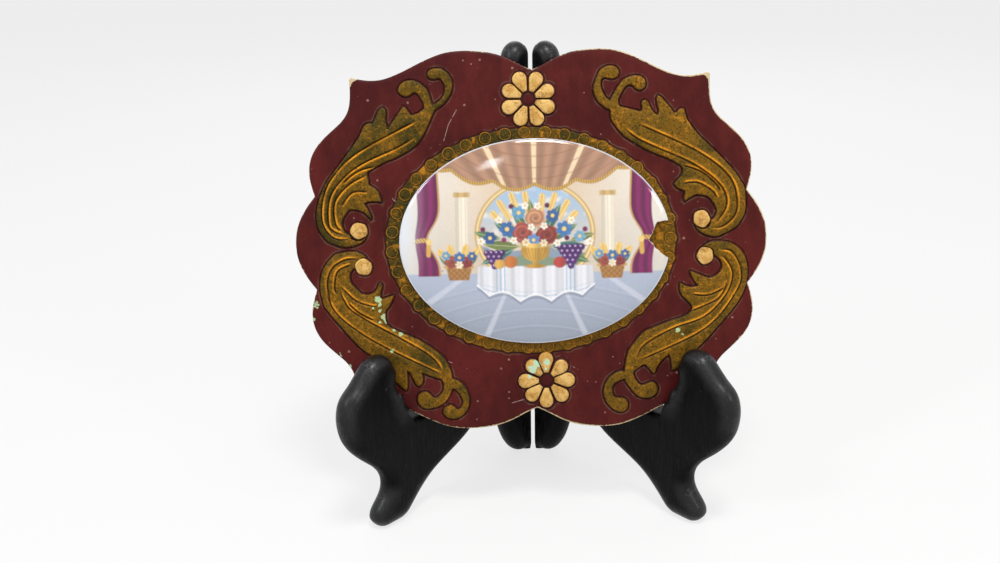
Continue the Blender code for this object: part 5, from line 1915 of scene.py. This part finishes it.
    def canopy(self) -> None:
        """Paint the pleated tan canopy and its fringe."""
        x, y = self.x, self.y
        hang = 21.5 + 0.010 * x ** 2 * 0.6 - 2.4 * np.abs(np.sin(x * math.pi / 15.5))
        cloth = self.area(hang, 60.0)
        turn = np.arctan2(x, y + 4.0)
        self.lay(cloth, (176, 134, 108), 0.76 + 0.30 * (0.5 + 0.5 * np.cos(turn * 44.0)))
        self.lay(cloth * ramp(np.cos(turn * 14.67), 0.90, 0.97), (232, 208, 170))
        row = np.abs(np.mod(y - 0.012 * x ** 2, 4.2) - 2.1)
        self.lay(cloth * ramp(row, 0.45, 0.15) * 0.35, (142, 96, 74))
        self.lay(self.area(hang - 1.0, hang + 0.4), (206, 164, 88), 0.8 + 0.25 * np.cos(x * 7.0))

    def cloth(self) -> None:
        """Paint the white cloth over the stand, with its pale blue stripes."""
        x, y = self.x, self.y
        bow = 0.008 * x ** 2
        swag = -22.6 + 2.6 * np.abs(np.cos(x * math.pi / 11.6)) + bow
        hang = self.band(x, 21.4 + 0.06 * (-9.5 - y)) * self.area(swag, -9.2)
        self.lay(hang, (236, 236, 242), 0.86 + 0.10 * np.cos(x * 1.08) + 0.05 * np.cos(x * 2.7 + 1.0))
        off = np.abs(x) - 13.0
        self.lay(hang * ramp(np.cos(off * 4.2), 0.2, 0.8) * self.band(off, 2.6) * 0.75, (142, 172, 202))
        rows = ramp(np.cos((y + 20.6 - bow) * 3.6), 0.5, 0.9) * self.band(y + 20.2 - bow, 1.3)
        self.lay(hang * rows * 0.6, (150, 178, 206))
        width = self.band(x, 22.0)
        self.lay(self.band(y - swag, 0.35) * width * 0.8, (250, 250, 250))
        self.lay(self.area(swag - 1.4, swag - 0.3) * width * 0.4, (104, 100, 124))

    def leaf(self, start: Point, end: Point, wide: float, colour: Sequence[float]) -> None:
        """Paint one leaf with a midrib."""
        lie = nearness(self.points, np.array([start, end], float), wide + 1.5)
        body = self.edge(lie.gap - wide * np.sin(np.pi * np.clip(lie.along, 0.02, 0.98)) ** 0.8)
        self.lay(body, colour, 0.85 + 0.30 * ramp(lie.side, -wide, wide))
        self.lay(body * ramp(lie.gap, 0.28, 0.05) * 0.5, (206, 214, 170))

    def rose(self, x: float, y: float, radius: float, colour: Sequence[float]) -> None:
        """Paint one full rose."""
        u, v, far = self.turned(x, y, radius, radius * 0.94, 0.2)
        turn = np.arctan2(v, u)
        body = self.edge((far * (1 + 0.07 * np.cos(5 * turn + 1.0)) - 1) * radius * 0.94)
        swirl = 0.5 + 0.5 * np.cos(far * 13.0 - turn * 1.0)
        self.lay(body, colour, 0.62 + 0.55 * swirl * (0.45 + 0.55 * far) + 0.14 * v)
        self.lay(body * ramp(far, 0.30, 0.05) * 0.6, [c * 0.55 for c in colour])

    def daisy(self, x: float, y: float, radius: float, colour: Sequence[float], turn: float,
              heart: Sequence[float] = (236, 206, 120), petals: int = 6) -> None:
        """Paint one open blossom."""
        u, v, far = self.turned(x, y, radius, radius, turn)
        lobe = np.abs(np.cos(np.arctan2(v, u) * petals / 2))
        body = self.edge((far / (0.70 + 0.30 * lobe) - 1) * radius * 0.8)
        self.lay(body, colour, 0.80 + 0.30 * lobe * far + 0.10 * v)
        self.lay(self.disc(x, y, radius * 0.27), heart)

    def grapes(self, x: float, y: float, rows: int, size: float) -> None:
        """Paint one hanging bunch of grapes."""
        for row in range(rows):
            for place in range(rows - row):
                gx = x + (place - (rows - row - 1) / 2) * size * 1.75
                gy = y - row * size * 1.5
                self.lay(self.disc(gx, gy, size * 1.08), (70, 34, 92))
                self.lay(self.disc(gx, gy, size * 0.92), (104, 52, 132),
                         0.72 + 0.30 * math.sin(gx * 3.1 + gy * 1.7))
                self.lay(self.disc(gx - size * 0.3, gy + size * 0.35, size * 0.3), (206, 178, 222))

    def wheat(self, x: float, y: float, way: float, length: float) -> None:
        """Paint one ear of wheat on its stalk."""
        dx, dy = math.sin(way), math.cos(way)
        bend = (x + dx * length * 0.55 - dy * 0.5, y + dy * length * 0.55)
        self.lay(self.stroke([(x, y), bend, (x + dx * length, y + dy * length)], 0.30), (196, 156, 78))
        for step in range(7):
            share = length * (0.62 + 0.058 * step)
            for side in (-1, 1):
                gx = x + dx * share + side * dy * 0.62
                gy = y + dy * share - side * dx * 0.62
                turn = -way + side * 0.35
                self.lay(self.disc(gx, gy, 0.46, 0.95, turn), (226, 184, 96))
                self.lay(self.disc(gx - 0.12, gy + 0.2, 0.16, 0.5, turn), (250, 226, 158))

    def urn(self) -> None:
        """Paint the gold urn, its lip over the stems, with two blossoms before it."""
        x = self.x
        shine = 0.62 + 0.42 * bell(x, -1.6, 2.0) + 0.18 * bell(x, 2.6, 0.8)
        bowl = self.disc(0.0, -3.6, 5.4, 3.9) * self.area(-9.0, -1.6)
        stem = self.band(x, 0.9 + 0.35 * np.abs(self.y + 7.8)) * self.area(-9.4, -6.6)
        self.lay(stem, (206, 158, 66), shine)
        self.lay(self.disc(0.0, -9.3, 4.0, 0.8), (198, 150, 60), shine)
        self.lay(bowl, (218, 170, 76), shine)
        for number in range(-3, 4):
            flute = self.stroke([(number * 1.45, -1.8), (number * 0.75, -7.0)], 0.16)
            self.lay(bowl * flute * 0.6, (140, 92, 34))
        self.lay(self.disc(0.0, -1.7, 5.9, 0.85), (236, 196, 110), shine)
        for x, y, radius in ((-3.4, -0.4, 1.5), (3.2, -0.7, 1.4)):
            self.daisy(x, y, radius, (240, 226, 196), x, (214, 150, 60))

    def basket(self, x: float, y: float) -> None:
        """Paint one wicker basket heaped with flowers and fruit."""
        for dx, tilt in ((-4.6, -0.7), (-2.4, -0.3), (2.0, 0.25), (4.4, 0.65)):
            self.leaf((x + dx * 0.4, y), (x + dx * 1.6, y + 6.6 - abs(dx) * 0.4), 1.3, (74, 114, 92))
            self.wheat(x + dx * 0.4, y, tilt, 8.4)
        weave = 0.5 + 0.5 * np.cos(self.x * 3.0) * np.cos(self.y * 3.0)
        body = self.band(self.x - x, 4.7 + 0.22 * (self.y - y)) * self.area(y - 4.6, y + 0.4)
        self.lay(body, (172, 122, 66), 0.66 + 0.45 * weave)
        self.lay(self.stroke([(x - 5.2, y + 0.4), (x + 5.2, y + 0.4)], 0.5), (206, 160, 92))
        self.rose(x - 2.6, y + 2.2, 2.5, (168, 84, 66))
        self.rose(x + 2.8, y + 2.0, 2.3, (150, 60, 62))
        for dx, dy, radius, colour in ((0.2, 3.9, 2.2, (66, 112, 168)), (-4.8, 4.6, 1.8, (104, 160, 200)),
                                       (4.9, 4.4, 1.8, (58, 98, 156)), (0.1, 1.2, 1.5, (240, 230, 206))):
            self.daisy(x + dx, y + dy, radius, colour, x + dy)

    def bouquet(self) -> None:
        """Paint wheat, leaves, flowers, grapes and fruit round the urn."""
        teal, green, moss = (58, 110, 104), (84, 122, 78), (110, 124, 66)
        for way, length in ((-0.75, 17.0), (-0.55, 19.5), (-0.34, 20.5), (0.30, 20.0), (0.52, 19.0),
                            (0.74, 16.5), (-0.14, 20.0), (0.12, 19.0)):
            self.wheat(way * 6.0, -1.5, way, length)
        for start, end, wide, colour in (
                ((-4, 0), (-15, 7), 1.9, teal), ((4, 0), (15.5, 6), 1.9, green),
                ((-3, 2), (-8.5, 14), 1.7, green), ((3, 2), (9.5, 13.5), 1.7, teal),
                ((-6, -2), (-19, -1), 1.8, moss), ((6, -2), (19, -2), 1.8, teal),
                ((0, 4), (-2.0, 15.5), 1.5, moss), ((-8, -3), (-20, -8.2), 1.7, teal),
                ((8, -3), (20, -8.0), 1.7, green), ((13, 0), (22, 2.5), 1.4, moss),
                ((-13, 1), (-22.5, 3.5), 1.5, green)):
            self.leaf(start, end, wide, colour)
        self.grapes(13.2, -2.4, 5, 1.15)
        self.grapes(-15.2, -4.2, 4, 1.1)
        for x, y, wide, high, colour, light, shine in (
                (-9.2, -7.6, 2.5, 2.3, (196, 116, 54), 0.25, (-10.2, 1.5)),
                (9.0, -8.0, 2.3, 2.1, (176, 66, 60), 0.3, (8.2, 1.3)),
                (-13.4, -8.4, 2.0, 1.7, (214, 168, 78), 0.25, (-14.0, 1.2))):
            self.lay(self.disc(x, y, wide, high), colour, 0.85 + light * bell(self.x, *shine))
        self.rose(-4.6, 3.4, 3.9, (176, 88, 78))
        self.rose(4.4, 2.2, 4.1, (150, 66, 58))
        self.rose(0.2, 8.6, 3.7, (206, 148, 112))
        for x, y, radius, colour in ((-10.4, 4.6, 3.0, (60, 108, 168)), (10.8, 4.4, 3.1, (72, 122, 180)),
                                     (-6.0, 10.6, 2.7, (104, 160, 200)), (6.6, 9.4, 2.6, (58, 98, 156)),
                                     (-0.6, 0.4, 2.4, (96, 142, 196)), (16.6, 1.6, 2.3, (122, 170, 206)),
                                     (-16.8, 1.4, 2.5, (52, 88, 146))):
            self.daisy(x, y, radius, colour, x)
        for x, y in ((-8.0, 0.4), (8.2, -0.8), (1.0, 13.0), (-3.6, 13.2), (13.6, 7.6), (-13.4, 8.0),
                     (-20.2, 0.2), (20.4, -0.4), (3.4, 5.6), (-1.4, 5.2)):
            self.daisy(x, y, 1.35, (246, 242, 232), x, (230, 180, 70), 5)
        for x, y in ((-11.6, 0.6), (11.8, 1.0), (4.6, 13.2), (-8.8, 13.0), (18.6, 4.2), (-19.4, 4.6)):
            self.lay(self.disc(x, y, 0.95), (132, 44, 96), 0.8 + 0.3 * math.sin(x))

    def paint(self, edge: Array) -> Array:
        """Paint everything and fade it into the white glaze at the rim.

        Args:
            edge: 0 at the oval's middle and 1 at its rim.

        Returns:
            Linear colours.
        """
        for step in (self.backdrop, self.steps, self.columns, self.drapes, self.canopy, self.cloth):
            step()
        for place in (-28.5, 28.5):
            self.basket(place, -9.6)
        self.bouquet()
        self.urn()
        self.sheet *= (0.97 + 0.06 * blotches(self.points, 0.45, 51))[:, None]
        pale = bell(self.x, -50.0, 5.0) * ramp(self.y, -24.0, 6.0)
        self.lay(np.maximum(ramp(edge, 0.984, 0.998), 0.75 * pale), (222, 228, 240))
        return np.clip(self.sheet, 0, 1)


@dataclass
class Cameo:
    """The domed porcelain oval with the bite out of its right edge.

    Attributes:
        plane: The plane of the board's back.
        base: Level of its flat back.
        rim: Height of its rim.
        rise: Height of the dome over the rim.
        spacing: Distance between points of the print.
        whole: Share of the way to the rim that only the whole edge reaches.
    """

    plane: PlaneFrame
    base: float = 8.1
    rim: float = 1.6
    rise: float = 3.4
    spacing: float = 0.34
    whole: float = 0.985

    def __post_init__(self) -> None:
        """Read the oval's size, its middle and the broken outline from the frame."""
        local = self.plane.local(node_points("cameo_oval"))
        self.half = np.array([-local[:, 0].min(), np.ptp(local[:, 1]) / 2])
        self.middle = np.array([0.0, (local[:, 1].min() + local[:, 1].max()) / 2])
        self.loop = self.broken_outline(section("cameo_oval", self.plane, self.base + 0.75))

    def broken_outline(self, cut: Array) -> Array:
        """Return a smooth oval whose broken part follows the frame's cut, made ragged."""
        broken = np.flatnonzero(self.share(cut) <= self.whole)
        if np.ptp(broken) > len(cut) / 2:
            cut = np.roll(cut, len(cut) // 2, axis=0)
            broken = np.flatnonzero(self.share(cut) <= self.whole)
        bite = even_line(cut[broken.min() - 1:broken.max() + 2], 0.35)
        ragged = waver(bite, 1.3, 61) + 0.5 * waver(bite, 0.5, 62)
        step = np.arange(len(bite), dtype=float)
        fade = ramp(step, 0, 4) * ramp(step, len(bite) - 1.0, len(bite) - 5.0)
        bite = bite + (ragged * fade * 0.7)[:, None] * (0.8, 0.6)
        start, end = (math.atan2(y, x) for x, y in (bite[[-1, 0]] - self.middle) / self.half)
        around = np.linspace(start, end + math.tau if end < start else end, 860)[1:-1]
        return np.vstack([bite, circle(around) * self.half + self.middle])

    def share(self, points: Array) -> Array:
        """Return 0 at the oval's middle and 1 at its rim."""
        return np.hypot(*((points - self.middle) / self.half).T)

    def dome(self, points: Array) -> Array:
        """Return the glazed dome's heights."""
        share = np.clip(self.share(points), 0, 1)
        chipped = ramp(edge_distance(points, self.loop), 0.35, 0.0) * (share < self.whole) * 0.12
        return self.base + self.rim + self.rise * np.sqrt(1 - share ** 2) - chipped

    def tuck(self, points: Array, share: float) -> Array:
        """Return how the wall's points move: the broken wall is ragged."""
        ragged = waver(points * 1.7 + share * 9.0, 0.8, 63) * 0.5 * (self.share(points) < 0.98)
        return np.column_stack([ragged, ragged * 0.5])

    def build(self, material: bpy.types.Material) -> None:
        """Make the oval and paint its print."""
        rings = [thin_out(inset(self.loop, depth), 0.1) for depth in (0.02, 0.07, 0.15, 0.27)]
        extra = np.vstack([hex_points(self.loop, self.spacing, 0.36), *rings])
        shell = closed_shell(self.loop, extra, hex_points(self.loop, 8.0, 3.0), self.dome, self.base,
                             rows=4, push=self.tuck)
        thing = shell.make("porcelain_oval", self.plane, 50.0)
        flat = shell.points[:, :2]
        share = self.share(flat)
        tint(thing, "print", StillLifePrint(flat - self.middle).paint(share))
        broken = (share < 0.983) & (shell.on(Zone.WALL) | (edge_distance(flat, self.loop) < 0.12))
        mark(thing, bare=broken | shell.on(Zone.BACK))
        finish_piece(thing, Body.PLAQUE, Slot.PORCELAIN, material, "cameo_oval")


# The easel


@dataclass
class Wing:
    """One sawn and rounded wing of the easel.

    Attributes:
        name: The CAD node it stands for.
        side: -1 for left, 1 for right.
        body: The CAD body it rides on.
        round_over: Radius of its rounded edges.
        cradle_round: Radius of the edges in the notch that holds the board.
        crisp: Radius of its sawn edges.
        sole_round: Radius of the feet's lower corners.
    """

    name: str
    side: int
    body: Body
    round_over: float = 4.5
    cradle_round: float = 1.6
    crisp: float = 0.35
    sole_round: float = 3.4

    def __post_init__(self) -> None:
        """Read the plane and the outline from the frame."""
        self.plane = wing_plane(self.name, self.side)
        rough = section(self.name, self.plane, 0.0)
        self.rear = rough[:, 0].min()
        self.half = float(np.ptp(self.plane.local(node_points(self.name))[:, 2])) / 2
        loop = smooth_loop(self.plain_seats(rough), 28.0, 1.0)
        front = (loop[:, 0] > 72.9) & (loop[:, 0] < 79.5) & (loop[:, 1] > 40.0) & (loop[:, 1] < 60.0)
        snug = 72.9 + 5.0 * ramp(loop[front, 1], 42.0, 62.0)
        loop[front, 0] = np.minimum(loop[front, 0], snug)
        for place in self.sole_ends(loop):
            loop = self.eased(loop, place)
        self.loop = loop

    def plain_seats(self, rough: Array) -> Array:
        """Return the frame's outline without the screw holes, with the hinges' seats."""
        u, z = rough.T
        first_low, first_high, second_low, second_high = np.sort(z[u < self.rear + 0.05])[1:5]
        first = (z > first_low + 0.1) & (z < first_high - 0.1)
        second = (z > second_low + 0.1) & (z < second_high - 0.1)
        return rough[~((first | second) & (u < self.rear + 12.0))]

    def sole_ends(self, loop: Array) -> list[Array]:
        """Return the corners where the soles end, but for the sawn rear one."""
        low = loop[loop[:, 1] < 0.02]
        front, rear = low[low[:, 0] > 50.0], low[low[:, 0] < 50.0]
        return [front[front[:, 0].argmin()], front[front[:, 0].argmax()], rear[rear[:, 0].argmax()]]

    def eased(self, loop: Array, corner: Array) -> Array:
        """Return the outline with a smooth bend in place of one corner."""
        far = distance(loop, corner)
        start = int(far.argmin())
        loop, far = np.roll(loop, -start, axis=0), np.roll(far, -start)
        away = np.flatnonzero(far > self.sole_round)
        out, back = int(away[0]), int(away[-1])
        share = np.linspace(0, 1, 8)[:, None]
        bend = (1 - share) ** 2 * loop[back] + 2 * share * (1 - share) * corner + share ** 2 * loop[out]
        return np.vstack([loop[out + 1:back], bend])

    def edge_radius(self) -> Array:
        """Return the radius of the wing's edge at each point of its outline."""
        u, z = self.loop.T
        sawn = (u < self.rear + 2.3) & ~((u > self.rear + 0.05) & (z > 160))
        cradle = (u > 56.5) & (u < 79.5) & (z > 38.0) & (z < 66.0)
        return np.where(sawn, self.crisp, np.where(cradle, self.cradle_round, self.round_over))

    def half_depth(self, points: Array) -> Array:
        """Return half the wing's thickness at each point."""
        radii = self.edge_radius()
        breaks = np.flatnonzero(radii != np.roll(radii, 1))
        depth = np.full(len(points), self.half)
        gaps = {radius: np.full(len(points), 9.0) for radius in np.unique(radii)}
        for start, end in zip(breaks, [*breaks[1:], breaks[0] + len(radii)]):
            run = self.loop[np.arange(start, end + 1) % len(radii)]
            gap = nearness(points, run, 9.0).gap
            gaps[radii[start]] = np.minimum(gaps[radii[start]], gap)
        for radius, gap in gaps.items():
            depth -= round_off(gap, radius)
        return np.maximum(depth, 0.05)

    def lip(self, points: Array) -> Array:
        """Return how far the notch's floor rises in front of the board at each point."""
        u, z, out = points.T
        front = self.plane.origin.y / MM + self.plane.across.y * u + self.plane.out.y * out
        rise = 5.5 * ramp(z, 36.0, 41.4) * ramp(z, 56.0, 45.0) * ramp(u, 65.0, 70.5) * ramp(u, 84.0, 76.0)
        return rise * ramp(front, -17.0, -19.0)

    def build(self, material: bpy.types.Material) -> None:
        """Make the wing with its worn edges, which also carry a painted sheen."""
        radius = self.round_over
        depths = [radius * (1 - math.cos(math.radians(a))) for a in (14, 27, 40, 53, 66, 80)]
        close = hex_points(self.loop, 0.7, 0.6)
        close = close[distance(close, (70.0, 45.0)) < 8.0]
        extra = np.vstack([*[thin_out(inset(self.loop, d), 0.35) for d in depths], close,
                           hex_points(self.loop, 2.2, radius)])

        def level(points: Array) -> Array:
            wave = 0.06 * waver(points, 7.0, 71)
            return self.half_depth(points) - 0.03 + wave * ramp(edge_distance(points, self.loop), 0.5, 3.0)

        shell = closed_shell(self.loop, extra, extra, level, lambda low: -level(low), rows=6)
        shell.points[:, 1] += self.lip(shell.points)
        thing = shell.make("lacquered_" + self.name, self.plane, 40.0)
        flat = shell.points[:, :2]
        gap = edge_distance(flat, self.loop)
        # The rounded edges' mask gives bare wood where strong and a painted sheen where weaker; the soles
        # wear too.
        wear = ramp(gap, 4.6, 0.8) * (0.12 + 0.42 * blotches(flat, 4.0, 72)) \
            + 0.30 * ramp(flat[:, 1], 2.0, 0.0)
        foot = ramp(flat[:, 1], 18.0, 12.0) * ramp(flat[:, 0], 50.0, 62.0)
        tips = np.maximum(ramp(flat[:, 1], 38.0, 50.0), foot)
        # Painted highlight on the notch where the board rests, strong on the left wing and faint on the
        # right, partly wear.
        rest_sheen = ramp(distance(flat, (69.5, 44.5)), 5.0, 2.0)
        mark(thing, polish=ramp(gap, 6.0, 1.5) * tips,
             wear=np.maximum(wear, (0.60 if self.side < 0 else 0.3) * rest_sheen))
        finish_piece(thing, self.body, Slot.BLACK_WOOD, material, self.name)


@dataclass
class HingeScrews:
    """The four slotted screws of one wing's hinge leaves.

    Attributes:
        hand: "left" or "right".
        body: The CAD body they ride on.
        radius: Radius of a head.
        depth: Length of the countersunk part.
        slot: Half width of the slot.
    """

    hand: str
    body: Body
    radius: float = 1.45
    depth: float = 1.0
    slot: float = 0.2

    def head(self) -> bpy.types.Object:
        """Make one slotted head and its shank, its face up."""
        work = bmesh.new()
        bmesh.ops.create_cone(work, cap_ends=True, segments=28, radius1=0.75, radius2=self.radius,
                              depth=self.depth)
        bmesh.ops.translate(work, verts=work.verts, vec=(0, 0, -self.depth / 2))
        top = max(work.faces, key=lambda face: face.calc_center_median().z)
        for offset in (-self.slot, self.slot):
            geometry = [top, *top.edges, *top.verts] if offset < 0 else [
                item for face in work.faces if face.normal.z > 0.9
                for item in (face, *face.edges, *face.verts)]
            bmesh.ops.bisect_plane(work, geom=list(dict.fromkeys(geometry)),
                                   plane_co=(0, offset, 0), plane_no=(0, 1, 0))
        work.faces.ensure_lookup_table()
        strip = [face for face in work.faces if face.normal.z > 0.9
                 and abs(face.calc_center_median().y) < self.slot]
        cut = bmesh.ops.extrude_face_region(work, geom=strip)
        moved = [item for item in cut["geom"] if isinstance(item, bmesh.types.BMVert)]
        bmesh.ops.delete(work, geom=strip, context="FACES")
        bmesh.ops.translate(work, verts=moved, vec=(0, 0, -0.5))
        bmesh.ops.scale(work, verts=moved, vec=(0.86, 1.0, 1.0))
        bmesh.ops.scale(work, verts=work.verts, vec=(MM, MM, MM))
        mesh = bpy.data.meshes.new("slotted_screw")
        work.to_mesh(mesh)
        work.free()
        return link(f"{self.hand}_hinge_screws", mesh)

    def write_ladder(self, graph: Graph, given: Any) -> dict[str, Any]:
        """Write the nodes that set screws in pairs, one pair for each hinge."""
        points = graph.add("GeometryNodePoints", {"Count": given["Screws"]})[0]
        index = graph.add("GeometryNodeInputIndex")[0]
        pair = graph.math("FLOOR", graph.math("DIVIDE", index, 2.0))
        single = graph.math("MODULO", index, 2.0)
        rise = graph.plus(graph.times(pair, given["Hinge Step"]), graph.times(single, given["Screw Step"]))
        offset = graph.vector(y=rise)
        return {"Points": graph.add("GeometryNodeSetPosition", {"Geometry": points, "Offset": offset})[0],
                "Rotation": graph.vector(z=graph.random(0.0, math.pi, given["Seed"]))}

    def build(self, steel: bpy.types.Material) -> None:
        """Make the four screws in their leaves."""
        nodes = [f"{level}_hinge_{self.hand}_screw_{n}" for level in ("lower", "upper") for n in (1, 2)]
        lowest, second, upper = (box_middle(name) for name in nodes[:3])
        inputs = {"Screws": 4, "Screw Step": second.z - lowest.z, "Hinge Step": upper.z - lowest.z,
                  "Seed": 3 if self.hand == "left" else 8}
        thing = repeat_on_points("screw_ladder_" + self.hand, self.head(), self.write_ladder, inputs, steel)
        wing = wing_plane(self.hand + "_wing", -1 if self.hand == "left" else 1)
        local = wing.local(node_points(nodes[0]))
        face = local[:, 0].min() + 0.02
        side = (local[:, 2].min() + local[:, 2].max()) / 2
        start = wing.origin + wing.across * face * MM + wing.out * side * MM
        start.z = lowest.z
        axes = Matrix((wing.up.cross(-wing.across), wing.up, -wing.across)).transposed().to_4x4()
        thing.data.transform(Matrix.Translation(start) @ axes)
        thing.data.set_sharp_from_angle(angle=math.radians(30))
        finish_piece(thing, self.body, Slot.STEEL, None, *nodes)


# The studio


@dataclass
class Studio:
    """Camera, lamps, floor and world.

    Attributes:
        lens: Focal length on a 36 mm sensor.
        place: The camera's place in metres.
        pitch: How far the camera looks down, in degrees.
        roll: How far it is turned about its view, in degrees.
    """

    lens: float = 43.2
    place: Spot = (-0.01209, -0.42799, 0.24532)
    pitch: float = 20.0
    roll: float = -0.99

    def camera(self) -> None:
        """Make the camera at the photograph's angle."""
        data = bpy.data.cameras.new("camera")
        data.lens = self.lens
        data.sensor_width = 36.0
        data.clip_start = 0.01
        data.clip_end = 20.0
        thing = link("camera", data)
        tilt = Matrix.Rotation(math.radians(90 - self.pitch), 4, "X")
        roll = Matrix.Rotation(math.radians(self.roll), 4, "Z")
        thing.matrix_world = Matrix.Translation(self.place) @ tilt @ roll
        bpy.context.scene.camera = thing

    def lamp(self, name: str, place: Spot, size: Point, power: float,
             colour: Colour = (1.0, 1.0, 1.0)) -> None:
        """Hang one soft box that faces the easel.

        Args:
            name: Its name.
            place: Where it hangs.
            size: Width and height.
            power: Watts.
            colour: Colour of its light.
        """
        data = bpy.data.lights.new(name, "AREA")
        data.shape = "RECTANGLE"
        data.size, data.size_y = size
        data.energy = power
        data.color = colour
        thing = link(name, data)
        thing.location = place
        aim = Vector((0.0, 0.0, 0.09)) - Vector(place)
        thing.rotation_euler = aim.to_track_quat("-Z", "Y").to_euler()

    def lamps(self) -> None:
        """Hang the soft studio lamps."""
        self.lamp("overhead", (0.06, -0.34, 0.92), (0.22, 0.17), 4.3, (1.0, 0.985, 0.96))
        self.lamp("window_left", (-0.66, -0.50, 0.74), (0.16, 0.26), 2.2, (0.90, 0.95, 1.0))
        self.lamp("fill_right", (0.72, -0.66, 0.66), (0.18, 0.18), 1.7, (1.0, 0.97, 0.93))
        self.lamp("glint", (-0.085, -0.73, 0.64), (0.05, 0.07), 0.13)
        self.lamp("rear", (0.1, 0.9, 0.6), (0.6, 0.4), 1.3)

    def world(self) -> None:
        """Light the room softly and show it white."""
        world = bpy.data.worlds.new("room")
        world.use_nodes = True
        graph = Graph(world.node_tree)
        graph.feed(world.node_tree.nodes["Background"], {"Color": (1.0, 1.0, 1.0, 1.0),
                                                         "Strength": graph.spread(graph.seen(), 0.42, 1.0)})
        bpy.context.scene.world = world

    def floor(self) -> None:
        """Lay the pale floor."""
        mesh = bpy.data.meshes.new("floor")
        mesh.from_pydata([(-4, -4, 0), (4, -4, 0), (4, 4, 0), (-4, 4, 0)], [], [(0, 1, 2, 3)])
        thing = link("floor", mesh)
        coat = Coat("pale_floor", {})
        tone = coat.mix(coat.cloud(3.0, 2.0, 0.5), (0.86, 0.86, 0.86), (0.89, 0.89, 0.89))
        shader = coat.feed(coat.tree.nodes["Principled BSDF"], {"Base Color": tone, "Roughness": 0.9,
                                                                "Specular IOR Level": 0.1})
        glow = coat.add("ShaderNodeEmission", {"Strength": 1.0})[0]
        share = coat.times(coat.seen(), 0.74)
        mixed = coat.add("ShaderNodeMixShader", {0: share, 1: shader.outputs[0], 2: glow})[0]
        coat.feed(coat.tree.nodes["Material Output"], {"Surface": mixed})
        dress(thing, coat.material)

    def build(self) -> None:
        """Set the whole studio up."""
        self.camera()
        self.lamps()
        self.world()
        self.floor()
        bpy.context.scene.view_settings.view_transform = "Standard"


@dataclass
class Plaque:
    """The board and everything on its front.

    Attributes:
        finishes: The object's finishes.
    """

    finishes: Finishes

    def build(self) -> None:
        """Make the board, its ornament and the porcelain oval."""
        plane = board_plane()
        chips = ((-59.6, -21.6, 1.7), (-58.8, -23.6, 1.2), (-58.8, -26.0, 1.0), (-61.4, -25.0, 0.9),
                 (-57.6, -28.2, 1.5), (-56.6, -29.6, 1.6), (-59.0, -30.0, 0.9), (-53.6, -33.2, 1.2),
                 (-51.2, -34.6, 1.3), (-54.6, -41.0, 1.0))
        scrolls = [
            Scroll("upper_left_scroll", plane, UPPER_LEFT_LEAF, UPPER_LEFT_VEINS, -0.1),
            Scroll("upper_right_scroll", plane, UPPER_RIGHT_LEAF, UPPER_RIGHT_VEINS, 0.3),
            Scroll("lower_left_scroll", plane, LOWER_LEFT_LEAF, LOWER_LEFT_VEINS, 0.1, chips),
            Scroll("lower_right_scroll", plane, LOWER_RIGHT_LEAF, LOWER_RIGHT_VEINS, 0.15,
                   ((53.6, -35.0, 1.4), (55.0, -36.6, 0.8)))]
        flowers = [
            Flower("upper_flower", plane, (-1.6, 52.8), 22.5, seed=2),
            Flower("lower_flower", plane, (3.7, -53.4), 0.0, seed=4,
                   chips=((-5.2, 4.4, 2.0), (-3.6, 6.6, 1.6), (-6.4, 2.0, 0.9), (0.2, 7.0, 1.3),
                          (-0.2, 4.6, 0.8)))]
        pearls = [Pearl("upper_left_pearl", plane, (-66.2, 4.4), 2),
                  Pearl("lower_left_pearl", plane, (-64.7, -9.2), 3),
                  Pearl("upper_right_pearl", plane, (63.0, 6.8), 4),
                  Pearl("lower_right_pearl", plane, (64.2, -7.1), 5)]
        band = OvalBand(plane)
        ornaments = [*[Ornament(item.name, item.loop) for item in scrolls],
                     *[Ornament(item.name, item.loop, 0.16) for item in pearls],
                     Ornament("band", band.loop[::2], 0.18),
                     *[outline for flower in flowers for outline in flower.outlines()]]
        finishes = self.finishes
        Board(plane, ornaments).build(finishes.paint)
        for pieces, material in ((scrolls, finishes.gilt), (flowers, finishes.pale),
                                 (pearls, finishes.pale), ([band], finishes.gilt),
                                 ([Cameo(plane)], finishes.porcelain)):
            for piece in pieces:
                piece.build(material)


@dataclass
class Easel:
    """The two wings with their hinge screws.

    Attributes:
        finishes: The object's finishes.
    """

    finishes: Finishes

    def build(self) -> None:
        """Make the wings and the screws."""
        for hand, side, body in (("left", -1, Body.LEFT_FOLD), ("right", 1, Body.RIGHT_FOLD)):
            Wing(hand + "_wing", side, body).build(self.finishes.lacquer)
            HingeScrews(hand, body).build(self.finishes.steel)


def main() -> None:
    """Build every sub-assembly in order."""
    logging.basicConfig(level=logging.INFO, format="%(name)s %(message)s")
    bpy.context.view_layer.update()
    finishes = Finishes()
    Plaque(finishes).build()
    Easel(finishes).build()
    finishes.dress_nodes()
    Studio().build()


if __name__ == "__main__":
    main()
